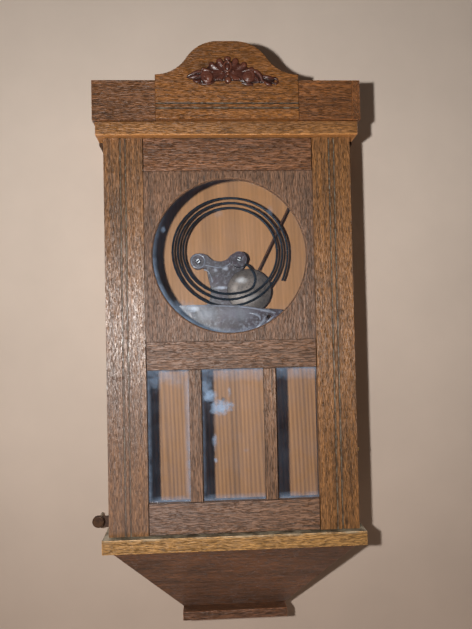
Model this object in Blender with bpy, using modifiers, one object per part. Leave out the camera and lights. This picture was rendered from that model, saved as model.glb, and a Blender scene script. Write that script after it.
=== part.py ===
"""Oak wall-clock case with a full-width glazed door and a coiled-wire gong on a cast bracket.

Frame: metres, +Z up. The wall is the plane Y = 0 and the clock stands out from it towards -Y.
The origin is where the dial's axis meets the wall, so the round window is centred on X = Z = 0.
"""

import math

import bmesh
import bpy
from mathutils import Matrix, Vector

GAP = 0.0003  # clearance kept between pieces that touch

# Depths, as Y of the front faces
DOOR_FRONT = -0.130
DOOR_BACK = -0.1103
CASE_FRONT = -0.110
BACK_THICKNESS = 0.008
STRIP_FRONT = -0.1404
FRIEZE_FRONT = -0.1446
CREST_FRONT = -0.1486
SHELF_FRONT = -0.1385
COVE_FRONT = -0.1080  # set back so that the open door's edge clears it

# Half widths, as X
CASE_HALF = 0.156
SIDE_THICKNESS = 0.012
DOOR_HALF = 0.1585
STRIP_HALF = 0.1669
FRIEZE_HALF = 0.170
RETURN_THICKNESS = 0.010
CREST_HALF = 0.0904
SHELF_HALF = 0.1663

# Levels, as Z
FRIEZE_TOP = 0.2205
FRIEZE_BOTTOM = 0.1696
STRIP_TOP = 0.1693
STRIP_BOTTOM = 0.152
DOOR_TOP = 0.1515
DOOR_BOTTOM = -0.352
SHELF_TOP = -0.353
SHELF_THICKNESS = 0.0178

# Door frame
STILE_WIDTH = 0.0495
SEAM = 0.0007  # open joint between a stile and what it frames
RAIL_RECESS = 0.001
LIP_BACK = -0.1263  # back of the frame's front lip behind the dial panel
LOWER_LIP_BACK = -0.1206  # the same lip round the lower glass, thicker
DIAL_OPENING = 0.109  # half size of the square opening behind the dial panel
LOWER_TOP = -0.145
LOWER_BOTTOM = -0.3125
REBATE = 0.004
MUNTIN_CENTRE = 0.0477
MUNTIN_WIDTH = 0.0155
BEAD_SIZE = 0.0036
GLASS_THICKNESS = 0.002
STILE_GROOVES = (0.1374, 0.1310)
GROOVE_RADIUS = 0.0014

# Dial panel
WINDOW_RADIUS = 0.1008
PANEL_FRONT = -0.126
PANEL_THICKNESS = 0.005
WINDOW_CHAMFER = 0.0016

# Crest board
CROWN_HALF = 0.0111
CROWN_RADIUS = 0.0475
CROWN_TOP = 0.2689
SHOULDER_TOP = 0.2262
CREST_THICKNESS = 0.016
CREST_GROOVES = (0.1896, 0.1836)

# Pendant under the shelf
PENDANT_TOP_HALF = 0.1565
PENDANT_BOTTOM_HALF = 0.0695
PENDANT_TOP_FRONT = -0.1300
PENDANT_BOTTOM_FRONT = -0.0600
PENDANT_BOTTOM = -0.4690
PENDANT_BOARD = 0.010
BLOCK_HALF = 0.0697
BLOCK_FRONT = -0.0790
BLOCK_THICKNESS = 0.0115

# Gong, bracket and pendulum
CASTING_FRONT = -0.0240
APRON_FRONT = -0.0460
APRON_BACK = -0.0385
BOSS_LEFT = (-0.0410, 0.0048)
BOSS_RIGHT = (0.0172, 0.0050)
BOSS_RADIUS = 0.0115
HUB_RADIUS = 0.0110
HUB_FRONT = -0.0430
WIRE_RADIUS = 0.0017
COIL_Y = -0.0362
COIL_CENTRE = (0.0034, 0.0160)
COIL_FIRST_RADIUS = 0.0633
COIL_PITCH = 0.0075
COIL_TURNS = 2.833
COIL_SQUASH = 0.945  # the spiral's height over its width
COIL_DROOP = 0.0032  # how far the third turn hangs below the spiral
COIL_SPLAY = 0.32  # how fast the free end bends outwards, per turn squared
BOB_CENTRE = (0.0315, -0.0395)
BOB_RADIUS = 0.0318
BOB_FRONT = -0.0335
BOB_BACK = -0.0252
ROD_END = (0.1165, 0.1310)

# Hinges on the left, latch hook on the right, levelling screw at the lower left
HINGE_X = -0.1592
HINGE_Y = CASE_FRONT
HINGE_LEVELS = {"upper": 0.080, "lower": -0.280}
HINGE_HEIGHT = 0.040
KNUCKLE_RADIUS = 0.0020
PIN_RADIUS = 0.0010
LEAF_THICKNESS = 0.0012
LEAF_INNER = -0.1465
HOOK_PIVOT = (-0.0900, -0.2527)
HOOK_LENGTH = 0.0315
HOOK_INNER_X = 0.1590
HOOK_THICKNESS = 0.0012
LEVEL_X = -0.1850
LEVEL_Z = -0.3557
LEVEL_RADIUS = 0.0020
KNOB_RADIUS = 0.0083

FACE_FRONT = Matrix.Rotation(math.radians(90), 4, "X")  # local Z turned to -Y
FACE_RIGHT = Matrix.Rotation(math.radians(90), 4, "Y")  # local Z turned to +X


# ---------------------------------------------------------------- scene and materials


def clear_scene():
    for old in list(bpy.data.objects):
        bpy.data.objects.remove(old, do_unlink=True)


def new_collection(name):
    collection = bpy.data.collections.new(name)
    bpy.context.scene.collection.children.link(collection)
    return collection


clear_scene()
PARTS = new_collection("wall_clock_case")
CUTTERS = new_collection("cutters")

FINISHES = {
    "oak": ((0.22, 0.11, 0.045), 0.45, 0.0),
    "oak_pale": ((0.42, 0.22, 0.08), 0.5, 0.0),
    "oak_dark": ((0.10, 0.04, 0.02), 0.4, 0.0),
    "softwood": ((0.38, 0.20, 0.09), 0.6, 0.0),
    "carving": ((0.09, 0.03, 0.02), 0.35, 0.0),
    "glass": ((0.8, 0.85, 0.85), 0.05, 0.0),
    "gong_steel": ((0.03, 0.05, 0.09), 0.3, 1.0),
    "cast_iron": ((0.07, 0.05, 0.06), 0.35, 0.8),
    "screw_steel": ((0.5, 0.5, 0.5), 0.3, 1.0),
    "brass": ((0.45, 0.33, 0.14), 0.4, 1.0),
    "brass_dark": ((0.06, 0.035, 0.025), 0.5, 1.0),
}


def material_for(name, finish):
    colour, roughness, metallic = FINISHES[finish]
    material = bpy.data.materials.new(name)
    material.use_nodes = True
    shader = material.node_tree.nodes["Principled BSDF"]
    shader.inputs["Base Color"].default_value = (*colour, 1.0)
    shader.inputs["Roughness"].default_value = roughness
    shader.inputs["Metallic"].default_value = metallic
    return material


def add_part(obj, finish):
    PARTS.objects.link(obj)
    obj.data.materials.append(material_for(obj.name, finish))
    return obj


def add_cutter(obj):
    CUTTERS.objects.link(obj)
    obj.hide_render = True
    obj.display_type = "WIRE"
    return obj


# ---------------------------------------------------------------- shapes


def box_object(name, low, high):
    low, high = Vector(low), Vector(high)
    bm = bmesh.new()
    bmesh.ops.create_cube(bm, size=1.0)
    bmesh.ops.scale(bm, vec=high - low, verts=bm.verts)
    mesh = bpy.data.meshes.new(name)
    bm.to_mesh(mesh)
    bm.free()
    obj = bpy.data.objects.new(name, mesh)
    obj.location = (low + high) / 2
    return obj


def board(name, low, high, finish):
    return add_part(box_object(name, low, high), finish)


def cylinder_object(name, start, end, radius, sides=24):
    start, end = Vector(start), Vector(end)
    bm = bmesh.new()
    bmesh.ops.create_cone(
        bm,
        cap_ends=True,
        segments=sides,
        radius1=radius,
        radius2=radius,
        depth=(end - start).length,
    )
    mesh = bpy.data.meshes.new(name)
    bm.to_mesh(mesh)
    bm.free()
    obj = bpy.data.objects.new(name, mesh)
    turn = (end - start).to_track_quat("Z", "Y")
    obj.matrix_world = Matrix.Translation((start + end) / 2) @ turn.to_matrix().to_4x4()
    return obj


def boolean(obj, tool, operation="DIFFERENCE"):
    modifier = obj.modifiers.new(tool.name, "BOOLEAN")
    modifier.operation = operation
    modifier.object = tool
    modifier.solver = "EXACT"


def cut_box(obj, name, low, high):
    boolean(obj, add_cutter(box_object(name, low, high)))


def cut_cylinder(obj, name, start, end, radius, sides=16):
    boolean(obj, add_cutter(cylinder_object(name, start, end, radius, sides)))


def join_box(obj, name, low, high):
    boolean(obj, add_cutter(box_object(name, low, high)), "UNION")


def join_cylinder(obj, name, start, end, radius, sides=16):
    boolean(obj, add_cutter(cylinder_object(name, start, end, radius, sides)), "UNION")


def turned(name, profile, place, finish, steps=24):
    """A turned piece. The profile lists (radius, height) from the top down its outer side."""
    mesh = bpy.data.meshes.new(name)
    points = [(radius, 0.0, height) for radius, height in profile]
    mesh.from_pydata(points, [(i, i + 1) for i in range(len(points) - 1)], [])
    obj = bpy.data.objects.new(name, mesh)
    obj.matrix_world = place
    screw = obj.modifiers.new("turn", "SCREW")
    screw.steps = screw.render_steps = steps
    screw.use_merge_vertices = True
    screw.merge_threshold = 0.00001
    screw.use_smooth_shade = True
    return add_part(obj, finish)


def curve_plate(name, outlines, place, thickness, smooth=False):
    """A flat plate from closed 2D outlines, thickness centred on the place's XY plane.

    Outlines after the first are holes. A smooth outline passes through its points in a curve.
    """
    curve = bpy.data.curves.new(name, "CURVE")
    curve.dimensions = "2D"
    curve.fill_mode = "BOTH"
    curve.extrude = thickness / 2
    curve.resolution_u = 3
    for order, outline in enumerate(outlines):
        rounded = smooth and order == 0
        spline = curve.splines.new("BEZIER" if rounded else "POLY")
        spline.use_cyclic_u = True
        if rounded:
            spline.bezier_points.add(len(outline) - 1)
            for point, (x, y) in zip(spline.bezier_points, outline):
                point.co = (x, y, 0.0)
                point.handle_left_type = point.handle_right_type = "AUTO"
        else:
            spline.points.add(len(outline) - 1)
            for point, (x, y) in zip(spline.points, outline):
                point.co = (x, y, 0.0, 1.0)
    obj = bpy.data.objects.new(name, curve)
    obj.matrix_world = place
    return obj


def as_mesh(obj, collection):
    """The curve object's solid as a mesh object with welded caps, in the same place."""
    collection.objects.link(obj)
    bpy.context.view_layer.update()
    graph = bpy.context.evaluated_depsgraph_get()
    name, place = obj.name, obj.matrix_world.copy()
    mesh = bpy.data.meshes.new_from_object(obj.evaluated_get(graph))
    bm = bmesh.new()
    bm.from_mesh(mesh)
    bmesh.ops.remove_doubles(bm, verts=bm.verts, dist=0.000001)
    bm.normal_update()
    bmesh.ops.recalc_face_normals(bm, faces=bm.faces)
    bm.to_mesh(mesh)
    bm.free()
    bpy.data.objects.remove(obj, do_unlink=True)
    solid = bpy.data.objects.new(name, mesh)
    solid.matrix_world = place
    return solid


def arc(centre, radius, start, end, steps):
    """Points on an arc about the centre, from the start angle to the end angle in degrees."""
    points = []
    for i in range(steps + 1):
        angle = math.radians(start + (end - start) * i / steps)
        points.append((centre[0] + radius * math.cos(angle), centre[1] + radius * math.sin(angle)))
    return points


def wedge_box(name, bottom, top, finish):
    """A six-sided board from a cube whose bottom and top faces take the given four corners."""
    bm = bmesh.new()
    bmesh.ops.create_cube(bm, size=2.0)
    order = {(-1, -1): 0, (1, -1): 1, (1, 1): 2, (-1, 1): 3}
    for vert in bm.verts:
        corner = order[(round(vert.co.x), round(vert.co.y))]
        vert.co = (top if vert.co.z > 0 else bottom)[corner]
    bm.normal_update()
    bmesh.ops.recalc_face_normals(bm, faces=bm.faces)
    mesh = bpy.data.meshes.new(name)
    bm.to_mesh(mesh)
    bm.free()
    return add_part(bpy.data.objects.new(name, mesh), finish)


def pivot(name, place):
    """An empty on a joint's axis, the parent of the pieces that turn about it."""
    empty = bpy.data.objects.new(name, None)
    empty.location = place
    empty.empty_display_size = 0.02
    PARTS.objects.link(empty)
    return empty


def hang_on(parent, pieces):
    bpy.context.view_layer.update()
    for piece in pieces:
        piece.parent = parent
        piece.matrix_parent_inverse = parent.matrix_world.inverted()


# ---------------------------------------------------------------- case


def build_box():
    back = board(
        "back_board",
        (-CASE_HALF, -BACK_THICKNESS, SHELF_TOP + GAP),
        (CASE_HALF, 0.0, FRIEZE_TOP - 0.0083),
        "softwood",
    )
    inner = -BACK_THICKNESS - GAP
    for side, sign in (("left", -1), ("right", 1)):
        faces = sorted((sign * (CASE_HALF - SIDE_THICKNESS), sign * CASE_HALF))
        board(
            f"side_{side}",
            (faces[0], CASE_FRONT, SHELF_TOP + GAP),
            (faces[1], inner, STRIP_TOP),
            "oak",
        )
    inside = CASE_HALF - SIDE_THICKNESS - GAP
    board("top_board", (-inside, CASE_FRONT, 0.1385), (inside, inner, 0.1505), "softwood")
    board(
        "base_shelf",
        (-SHELF_HALF, SHELF_FRONT, SHELF_TOP - SHELF_THICKNESS),
        (SHELF_HALF, 0.0, SHELF_TOP),
        "oak_pale",
    )
    return back


def build_hanging_plate(back):
    half, low, high, thick = 0.018, 0.158, 0.206, 0.0017
    hole, slot_half, slot_top = 0.005, 0.0025, 0.194
    reach = math.degrees(math.asin(slot_half / hole))
    keyhole = arc((0.0, 0.177), hole, 90 + reach, 450 - reach, 20)
    keyhole += [(slot_half, slot_top), (-slot_half, slot_top)]
    outline = [(-half, low), (half, low), (half, high), (-half, high)]
    place = Matrix.Translation((0, -thick / 2, 0)) @ FACE_FRONT
    plate = curve_plate("hanging_plate", [outline, keyhole], place, thick)
    add_part(plate, "screw_steel")
    cut_box(
        back,
        "hanging_plate_pocket",
        (-half - GAP, -thick - GAP, low - GAP),
        (half + GAP, 0.002, high + GAP),
    )
    cut_box(back, "nail_head_hole", (-0.008, -0.02, 0.169), (0.008, 0.002, 0.199))


def build_cornice():
    strip_low, strip_high = STRIP_BOTTOM, STRIP_TOP
    board(
        "strip_front",
        (-STRIP_HALF, STRIP_FRONT, strip_low),
        (STRIP_HALF, CASE_FRONT - GAP, strip_high),
        "oak_pale",
    )
    frieze_back = CREST_FRONT + CREST_THICKNESS
    for side, sign in (("left", -1), ("right", 1)):
        x = sorted((sign * (CASE_HALF + GAP), sign * STRIP_HALF))
        board(f"strip_{side}", (x[0], CASE_FRONT, strip_low), (x[1], 0.0, strip_high), "oak_pale")
        # The left board laps its return; the right return shows its end grain at the front.
        inner = FRIEZE_HALF - RETURN_THICKNESS
        laps = side == "left"
        x = sorted((sign * inner, sign * FRIEZE_HALF))
        board(
            f"frieze_return_{side}",
            (x[0], frieze_back + GAP if laps else FRIEZE_FRONT, FRIEZE_BOTTOM),
            (x[1], 0.0, FRIEZE_TOP),
            "oak",
        )
        end = FRIEZE_HALF if laps else inner - GAP
        x = sorted((sign * (CREST_HALF + GAP), sign * end))
        board(
            f"frieze_{side}",
            (x[0], FRIEZE_FRONT, FRIEZE_BOTTOM),
            (x[1], frieze_back, FRIEZE_TOP),
            "oak",
        )
        build_cove(side, sign)
    inside = FRIEZE_HALF - RETURN_THICKNESS - GAP
    board(
        "cornice_top",
        (-inside, frieze_back + GAP, FRIEZE_TOP - 0.008),
        (inside, 0.0, FRIEZE_TOP - 0.002),
        "softwood",
    )


def build_cove(side, sign):
    """The hollow moulding under the side strip, a prism along Y."""
    top, bottom = STRIP_BOTTOM - GAP, 0.1240
    wide, narrow = STRIP_HALF - 0.0001, CASE_HALF + GAP
    bulge = 0.0009
    profile = [(sign * narrow, top), (sign * wide, top), (sign * wide, top - 0.003)]
    steps = 6
    for i in range(1, steps + 1):
        part = i / steps
        hollow = bulge * math.sin(math.pi * part)
        x = wide + (narrow + 0.0008 - wide) * part - hollow
        profile.append((sign * x, top - 0.003 + (bottom - top + 0.003) * part))
    profile.append((sign * narrow, bottom))
    place = Matrix.Translation((0, COVE_FRONT / 2, 0)) @ FACE_FRONT
    plate = curve_plate(f"cove_{side}", [profile], place, -COVE_FRONT)
    add_part(as_mesh(plate, PARTS), "oak_dark")


def crest_outline():
    """Shoulder, hollow sweep and crown, the sweep and crown being arcs that meet tangentially."""
    crown = (CROWN_HALF, CROWN_TOP - CROWN_RADIUS)
    run = CREST_HALF - crown[0]
    drop = crown[1] - SHOULDER_TOP
    hollow = (run**2 + drop**2 - CROWN_RADIUS**2) / (2 * (CROWN_RADIUS + drop))
    centre = (CREST_HALF, SHOULDER_TOP + hollow)
    meet = math.degrees(math.atan2(centre[1] - crown[1], centre[0] - crown[0]))
    right = [(CREST_HALF, FRIEZE_BOTTOM)]
    right += arc(centre, hollow, 270, 180 + meet, 9)
    right += arc(crown, CROWN_RADIUS, meet, 90, 9)[1:]
    return right + [(-x, z) for x, z in reversed(right)]


def build_crest():
    place = Matrix.Translation((0, CREST_FRONT + CREST_THICKNESS / 2, 0)) @ FACE_FRONT
    plate = curve_plate("crest_board", [crest_outline()], place, CREST_THICKNESS)
    crest = add_part(as_mesh(plate, PARTS), "oak")
    for i, level in enumerate(CREST_GROOVES):
        start, end = (-0.12, CREST_FRONT, level), (0.12, CREST_FRONT, level)
        cut_cylinder(crest, f"crest_groove_{i}", start, end, 0.0010, 8)


def build_carving():
    """Plain solid of the applied ornament: a fan over two scrolls, with a leaf at each end."""
    centre, base = 0.0065, 0.2130
    half, rise, relief = 0.0590, 0.0345, 0.0055
    steps = 30
    upper = []
    for i in range(steps + 1):
        x = -1 + 2 * i / steps
        scallop = 0.0012 * math.cos(9 * math.pi * x)
        height = 0.0075 + rise * (1 - abs(x) ** 1.35) * 0.75 + scallop
        upper.append((centre + half * x, base + height * (1 - x**8 * 0.6)))
    lower = []
    for i in range(steps + 1):
        x = 1 - 2 * i / steps
        sag = 0.0040 * math.cos(3 * math.pi * x) * (1 - x**6)
        lower.append((centre + half * x, base - sag))
    place = Matrix.Translation((0, CREST_FRONT - GAP - relief / 2, 0)) @ FACE_FRONT
    add_part(curve_plate("crest_carving", [upper + lower], place, relief), "carving")


def build_pendant():
    """Three mitred boards of a tapering bracket under the shelf, closed by a block."""
    top = SHELF_TOP - SHELF_THICKNESS - GAP
    low = PENDANT_BOTTOM
    wall = 0.0
    outer_top = {"half": PENDANT_TOP_HALF, "front": PENDANT_TOP_FRONT}
    outer_low = {"half": PENDANT_BOTTOM_HALF, "front": PENDANT_BOTTOM_FRONT}

    def ring(level, z, inset, setback):
        return level["half"] - inset, level["front"] + setback, z

    thick = PENDANT_BOARD
    faces = {}
    for label, level, z in (("top", outer_top, top), ("low", outer_low, low)):
        faces[label] = (ring(level, z, 0, 0), ring(level, z, thick * 1.3, thick * 1.2))

    def corners(label, front):
        (x0, y0, z), (x1, y1, _) = faces[label]
        if front:
            return [(-x0, y0, z), (x0, y0, z), (x1, y1, z), (-x1, y1, z)]
        return [(x0, y0 + GAP * 2, z), (x0, wall, z), (x1, wall, z), (x1, y1 + GAP * 2, z)]

    wedge_box("pendant_front", corners("low", True), corners("top", True), "oak_dark")
    for side, sign in (("left", -1), ("right", 1)):
        flip = [[(sign * x, y, z) for x, y, z in corners(label, False)] for label in ("low", "top")]
        wedge_box(f"pendant_{side}", flip[0], flip[1], "oak_dark")
    board(
        "pendant_block",
        (-BLOCK_HALF, BLOCK_FRONT, low - GAP - BLOCK_THICKNESS),
        (BLOCK_HALF, wall, low - GAP),
        "oak_dark",
    )


# ---------------------------------------------------------------- door


def build_stiles(hinge_cuts):
    stiles = []
    inner = DOOR_HALF - STILE_WIDTH
    for side, sign in (("left", -1), ("right", 1)):
        x = sorted((sign * inner, sign * DOOR_HALF))
        stile = board(
            f"door_stile_{side}",
            (x[0], DOOR_FRONT, DOOR_BOTTOM),
            (x[1], DOOR_BACK, DOOR_TOP),
            "oak",
        )
        for i, place in enumerate(STILE_GROOVES):
            start = (sign * place, DOOR_FRONT, DOOR_BOTTOM - 0.01)
            end = (sign * place, DOOR_FRONT, DOOR_TOP + 0.01)
            cut_cylinder(stile, f"groove_{side}_{i}", start, end, GROOVE_RADIUS, 8)
        stiles.append(stile)
    for name, low, high in hinge_cuts:
        cut_box(stiles[0], name, low, high)
        ends = ((HINGE_X, HINGE_Y, low[2] - 0.004), (HINGE_X, HINGE_Y, high[2] + 0.004))
        cut_cylinder(stiles[0], f"{name}_round", *ends, KNUCKLE_RADIUS + 0.0004)
    y, z = HOOK_PIVOT[0] - HOOK_LENGTH, HOOK_PIVOT[1]
    cut_cylinder(stiles[1], "latch_pin_hole", (0.148, y, z), (0.16, y, z), 0.0015)
    return stiles


def build_rails():
    half = DOOR_HALF - STILE_WIDTH - SEAM
    front = DOOR_FRONT + RAIL_RECESS
    levels = {
        "top": (DIAL_OPENING, DOOR_TOP),
        "middle": (LOWER_TOP, -DIAL_OPENING),
        "bottom": (DOOR_BOTTOM, LOWER_BOTTOM),
    }
    rails = []
    for name, (low, high) in levels.items():
        rails.append(board(f"door_rail_{name}", (-half, front, low), (half, DOOR_BACK, high), "oak"))
    return rails


def cut_rebates(frame):
    """Rebates behind the front lip, for the panel, the glass and its beads."""
    wide = DIAL_OPENING + REBATE
    openings = {
        "dial_rebate": (LIP_BACK, -wide, wide),
        "lower_rebate": (LOWER_LIP_BACK, LOWER_BOTTOM - REBATE, LOWER_TOP + REBATE),
    }
    for name, (lip, low, high) in openings.items():
        cutter = add_cutter(box_object(name, (-wide, lip, low), (wide, -0.09, high)))
        for piece in frame:
            boolean(piece, cutter)


def build_dial_panel():
    half = DIAL_OPENING + REBATE - GAP
    panel = board(
        "dial_panel",
        (-half, PANEL_FRONT, -half),
        (half, PANEL_FRONT + PANEL_THICKNESS, half),
        "oak",
    )
    back = PANEL_FRONT + PANEL_THICKNESS
    profile = [
        (0.0, -PANEL_FRONT + 0.004),
        (WINDOW_RADIUS + 0.004, -PANEL_FRONT + 0.004),
        (WINDOW_RADIUS, -PANEL_FRONT),
        (WINDOW_RADIUS - WINDOW_CHAMFER, -PANEL_FRONT - WINDOW_CHAMFER),
        (WINDOW_RADIUS - WINDOW_CHAMFER, -back - 0.004),
        (0.0, -back - 0.004),
    ]
    mesh = bpy.data.meshes.new("window_hole")
    points = [(radius, 0.0, height) for radius, height in profile]
    mesh.from_pydata(points, [(i, i + 1) for i in range(len(points) - 1)], [])
    hole = bpy.data.objects.new("window_hole", mesh)
    hole.matrix_world = FACE_FRONT
    screw = hole.modifiers.new("turn", "SCREW")
    screw.steps = screw.render_steps = 72
    screw.use_merge_vertices = True
    screw.merge_threshold = 0.00001
    boolean(panel, add_cutter(hole))
    return panel


def build_glazing(name, half, low, high, glass_front):
    """One pane in its rebate and the four beads that hold it from behind."""
    wide, low, high = half - GAP, low + GAP, high - GAP
    glass_back = glass_front + GLASS_THICKNESS
    pieces = [
        board(f"{name}_glass", (-wide, glass_front, low), (wide, glass_back, high), "glass")
    ]
    front, back = glass_back + GAP, DOOR_BACK - 0.0005
    inside = BEAD_SIZE + GAP
    spans = {
        "top": ((-wide, high - BEAD_SIZE), (wide, high)),
        "bottom": ((-wide, low), (wide, low + BEAD_SIZE)),
        "left": ((-wide, low + inside), (-wide + BEAD_SIZE, high - inside)),
        "right": ((wide - BEAD_SIZE, low + inside), (wide, high - inside)),
    }
    for side, ((x0, z0), (x1, z1)) in spans.items():
        pieces.append(board(f"{name}_bead_{side}", (x0, front, z0), (x1, back, z1), "softwood"))
    return pieces


def build_muntins():
    pieces = []
    front = DOOR_FRONT + 0.0016
    for side, sign in (("left", -1), ("right", 1)):
        middle = sign * MUNTIN_CENTRE
        pieces.append(
            board(
                f"muntin_{side}",
                (middle - MUNTIN_WIDTH / 2, front, LOWER_BOTTOM + GAP),
                (middle + MUNTIN_WIDTH / 2, LOWER_LIP_BACK, LOWER_TOP - GAP),
                "oak",
            )
        )
    return pieces


# ---------------------------------------------------------------- hinges, latch and levelling screw


def hinge_knuckles(middle):
    """(low, high) of the outer two knuckles and of the middle one, at a hinge's level."""
    low, third = middle - HINGE_HEIGHT / 2, HINGE_HEIGHT / 3
    outer = [(low, low + third - GAP), (low + 2 * third + GAP, low + 3 * third)]
    return outer, [(low + third, low + 2 * third)]


def hinge_leaf(name, middle, faces, own, other):
    low, high = middle - HINGE_HEIGHT / 2, middle + HINGE_HEIGHT / 2
    leaf = board(name, (HINGE_X + 0.0016, faces[0], low), (LEAF_INNER, faces[1], high), "brass")

    def along(span, spread=0.0):
        return (HINGE_X, HINGE_Y, span[0] - spread), (HINGE_X, HINGE_Y, span[1] + spread)

    for i, span in enumerate(other):
        cut_cylinder(leaf, f"{name}_clear_{i}", *along(span, GAP), KNUCKLE_RADIUS + 0.0005)
    for i, span in enumerate(own):
        join_cylinder(leaf, f"{name}_knuckle_{i}", *along(span), KNUCKLE_RADIUS)
    cut_cylinder(leaf, f"{name}_bore", *along((low, high), 0.005), PIN_RADIUS + GAP)
    return leaf


def hinge_faces():
    """Y faces of the case leaf and of the door leaf, each let into the wood it is screwed to."""
    case = (CASE_FRONT + 0.0001, CASE_FRONT + 0.0001 + LEAF_THICKNESS)
    door = (DOOR_BACK - 0.0001 - LEAF_THICKNESS, DOOR_BACK - 0.0001)
    return case, door


def mortise(name, middle, faces, out):
    """Box cut for a leaf, open on the joint's side and a gap wider than the leaf elsewhere."""
    reach = HINGE_HEIGHT / 2 + GAP
    low, high = faces[0] - GAP, faces[1] + GAP
    if out > 0:
        low = faces[0] - 0.002
    else:
        high = faces[1] + 0.002
    corner = (HINGE_X - 0.002, low, middle - reach)
    return name, corner, (LEAF_INNER + GAP, high, middle + reach)


def build_hinges(case_side):
    case_faces, door_faces = hinge_faces()
    moving = []
    for label, middle in HINGE_LEVELS.items():
        outer, inner = hinge_knuckles(middle)
        hinge_leaf(f"hinge_{label}_case_leaf", middle, case_faces, outer, inner)
        leaf = hinge_leaf(f"hinge_{label}_door_leaf", middle, door_faces, inner, outer)
        moving.append(leaf)
        cut_box(case_side, *mortise(f"case_mortise_{label}", middle, case_faces, 1))
        half = HINGE_HEIGHT / 2
        ball = 0.0016
        profile = [(0.0, half + 2 * ball)]
        profile += [(ball * math.sin(a), half + ball + ball * math.cos(a)) for a in (0.8, 1.6, 2.3)]
        profile += [(PIN_RADIUS, half), (PIN_RADIUS, -half), (0.0, -half)]
        place = Matrix.Translation((HINGE_X, HINGE_Y, middle))
        turned(f"hinge_{label}_pin", profile, place, "brass", 16)
    return moving


def door_mortises():
    door_faces = hinge_faces()[1]
    return [
        mortise(f"door_mortise_{label}", middle, door_faces, -1)
        for label, middle in HINGE_LEVELS.items()
    ]


def hook_outline():
    """The latched hook in (distance from the pivot, height): eye, shank and a notch for the pin."""
    eye, shank, notch, tip = 0.0040, 0.0019, 0.0020, 0.0045
    end = HOOK_LENGTH + notch + 0.0028
    lean = math.degrees(math.asin(shank / eye))
    points = arc((0.0, 0.0), eye, lean, 360 - lean, 14)
    points += [(HOOK_LENGTH - notch, -shank)]
    points += arc((HOOK_LENGTH, 0.0), notch, 180, 0, 8)
    points += [(HOOK_LENGTH + notch, -0.0032), (end, -0.0032), (end, 0.0018)]
    points += [(end - 0.0025, tip), (HOOK_LENGTH - notch - 0.0015, tip)]
    points += [(HOOK_LENGTH - notch - 0.0050, shank)]
    return points


def build_latch(case_side):
    """Hook hanging from its screw on the case's right side, and the headed pin in the door's edge."""
    y, z = HOOK_PIVOT
    # The outline's first axis turns down, and its notch turns towards the wall.
    axes = Matrix(((0, 0, -1, 0), (0, -1, 0, 0), (-1, 0, 0, 0), (0, 0, 0, 1)))
    middle = HOOK_INNER_X + HOOK_THICKNESS / 2
    axis = pivot("latch_hook_axis", (middle, y, z))
    hole = arc((0.0, 0.0), 0.0016, 0, 337.5, 15)
    plate = curve_plate("latch_hook", [hook_outline(), hole], Matrix.Identity(4), HOOK_THICKNESS)
    plate.matrix_world = Matrix.Translation((middle, y, z)) @ axes
    hook = add_part(as_mesh(plate, PARTS), "brass")
    hang_on(axis, [hook])

    outer, inner = HOOK_INNER_X + HOOK_THICKNESS + GAP, HOOK_INNER_X - GAP
    skin = CASE_HALF + GAP
    profile = [(0.0, outer + 0.0014), (0.0018, outer + 0.0012), (0.0028, outer + 0.0004)]
    profile += [(0.0028, outer), (0.0012, outer), (0.0012, inner), (0.0026, inner)]
    profile += [(0.0026, skin), (0.0012, skin), (0.0012, 0.1470), (0.0, 0.1455)]
    place = Matrix.Translation((0, y, z)) @ FACE_RIGHT
    turned("latch_hook_screw", profile, place, "brass", 16)
    cut_cylinder(case_side, "hook_screw_hole", (0.1452, y, z), (0.16, y, z), 0.0015)

    neck = outer + GAP
    skin = DOOR_HALF + GAP
    profile = [(0.0, neck + 0.0016), (0.0014, neck + 0.0013), (0.0022, neck + 0.0006)]
    profile += [(0.0022, neck), (0.0015, neck), (0.0015, skin), (0.0012, skin)]
    profile += [(0.0012, 0.1495), (0.0, 0.1485)]
    place = Matrix.Translation((0, y - HOOK_LENGTH, z)) @ FACE_RIGHT
    return turned("latch_pin", profile, place, "brass", 16)


def build_leveller():
    """Angle bracket on the shelf's left end, and the thumb screw that bears on the wall."""
    end, low, high = -SHELF_HALF - GAP, LEVEL_Z - 0.0105, LEVEL_Z + 0.0050
    thick, front, back = 0.0018, -0.0350, -0.0130
    outer = (LEVEL_X - 0.0060, front, low)
    bracket = board("leveller_bracket", outer, (end, front + thick, high), "brass")
    join_box(bracket, "bracket_foot", (end - thick, front, low), (end, back, high))
    hole = ((LEVEL_X, -0.04, LEVEL_Z), (LEVEL_X, -0.03, LEVEL_Z))
    cut_cylinder(bracket, "leveller_hole", *hole, LEVEL_RADIUS + 0.00035, 24)

    place = Matrix.Translation((LEVEL_X, 0, LEVEL_Z)) @ FACE_FRONT
    tip, shoulder, root = 0.0008, 0.0045, 0.0372
    screw = turned(
        "leveller_screw",
        [(0.0, root), (LEVEL_RADIUS, root), (LEVEL_RADIUS, shoulder), (0.0004, tip), (0.0, tip)],
        place,
        "brass",
    )
    low, high = root + GAP, root + 0.0100
    profile = [(0.0, high), (KNOB_RADIUS - 0.0012, high), (KNOB_RADIUS, high - 0.0012)]
    profile += [(KNOB_RADIUS, low + 0.0052), (KNOB_RADIUS - 0.0012, low + 0.0040)]
    profile += [(0.0042, low + 0.0030), (0.0034, low), (0.0, low)]
    knob = turned("leveller_knob", profile, place, "brass_dark", 32)
    hang_on(pivot("leveller_axis", (LEVEL_X, -0.03, LEVEL_Z)), [screw, knob])


# ---------------------------------------------------------------- gong, bracket and pendulum


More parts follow.
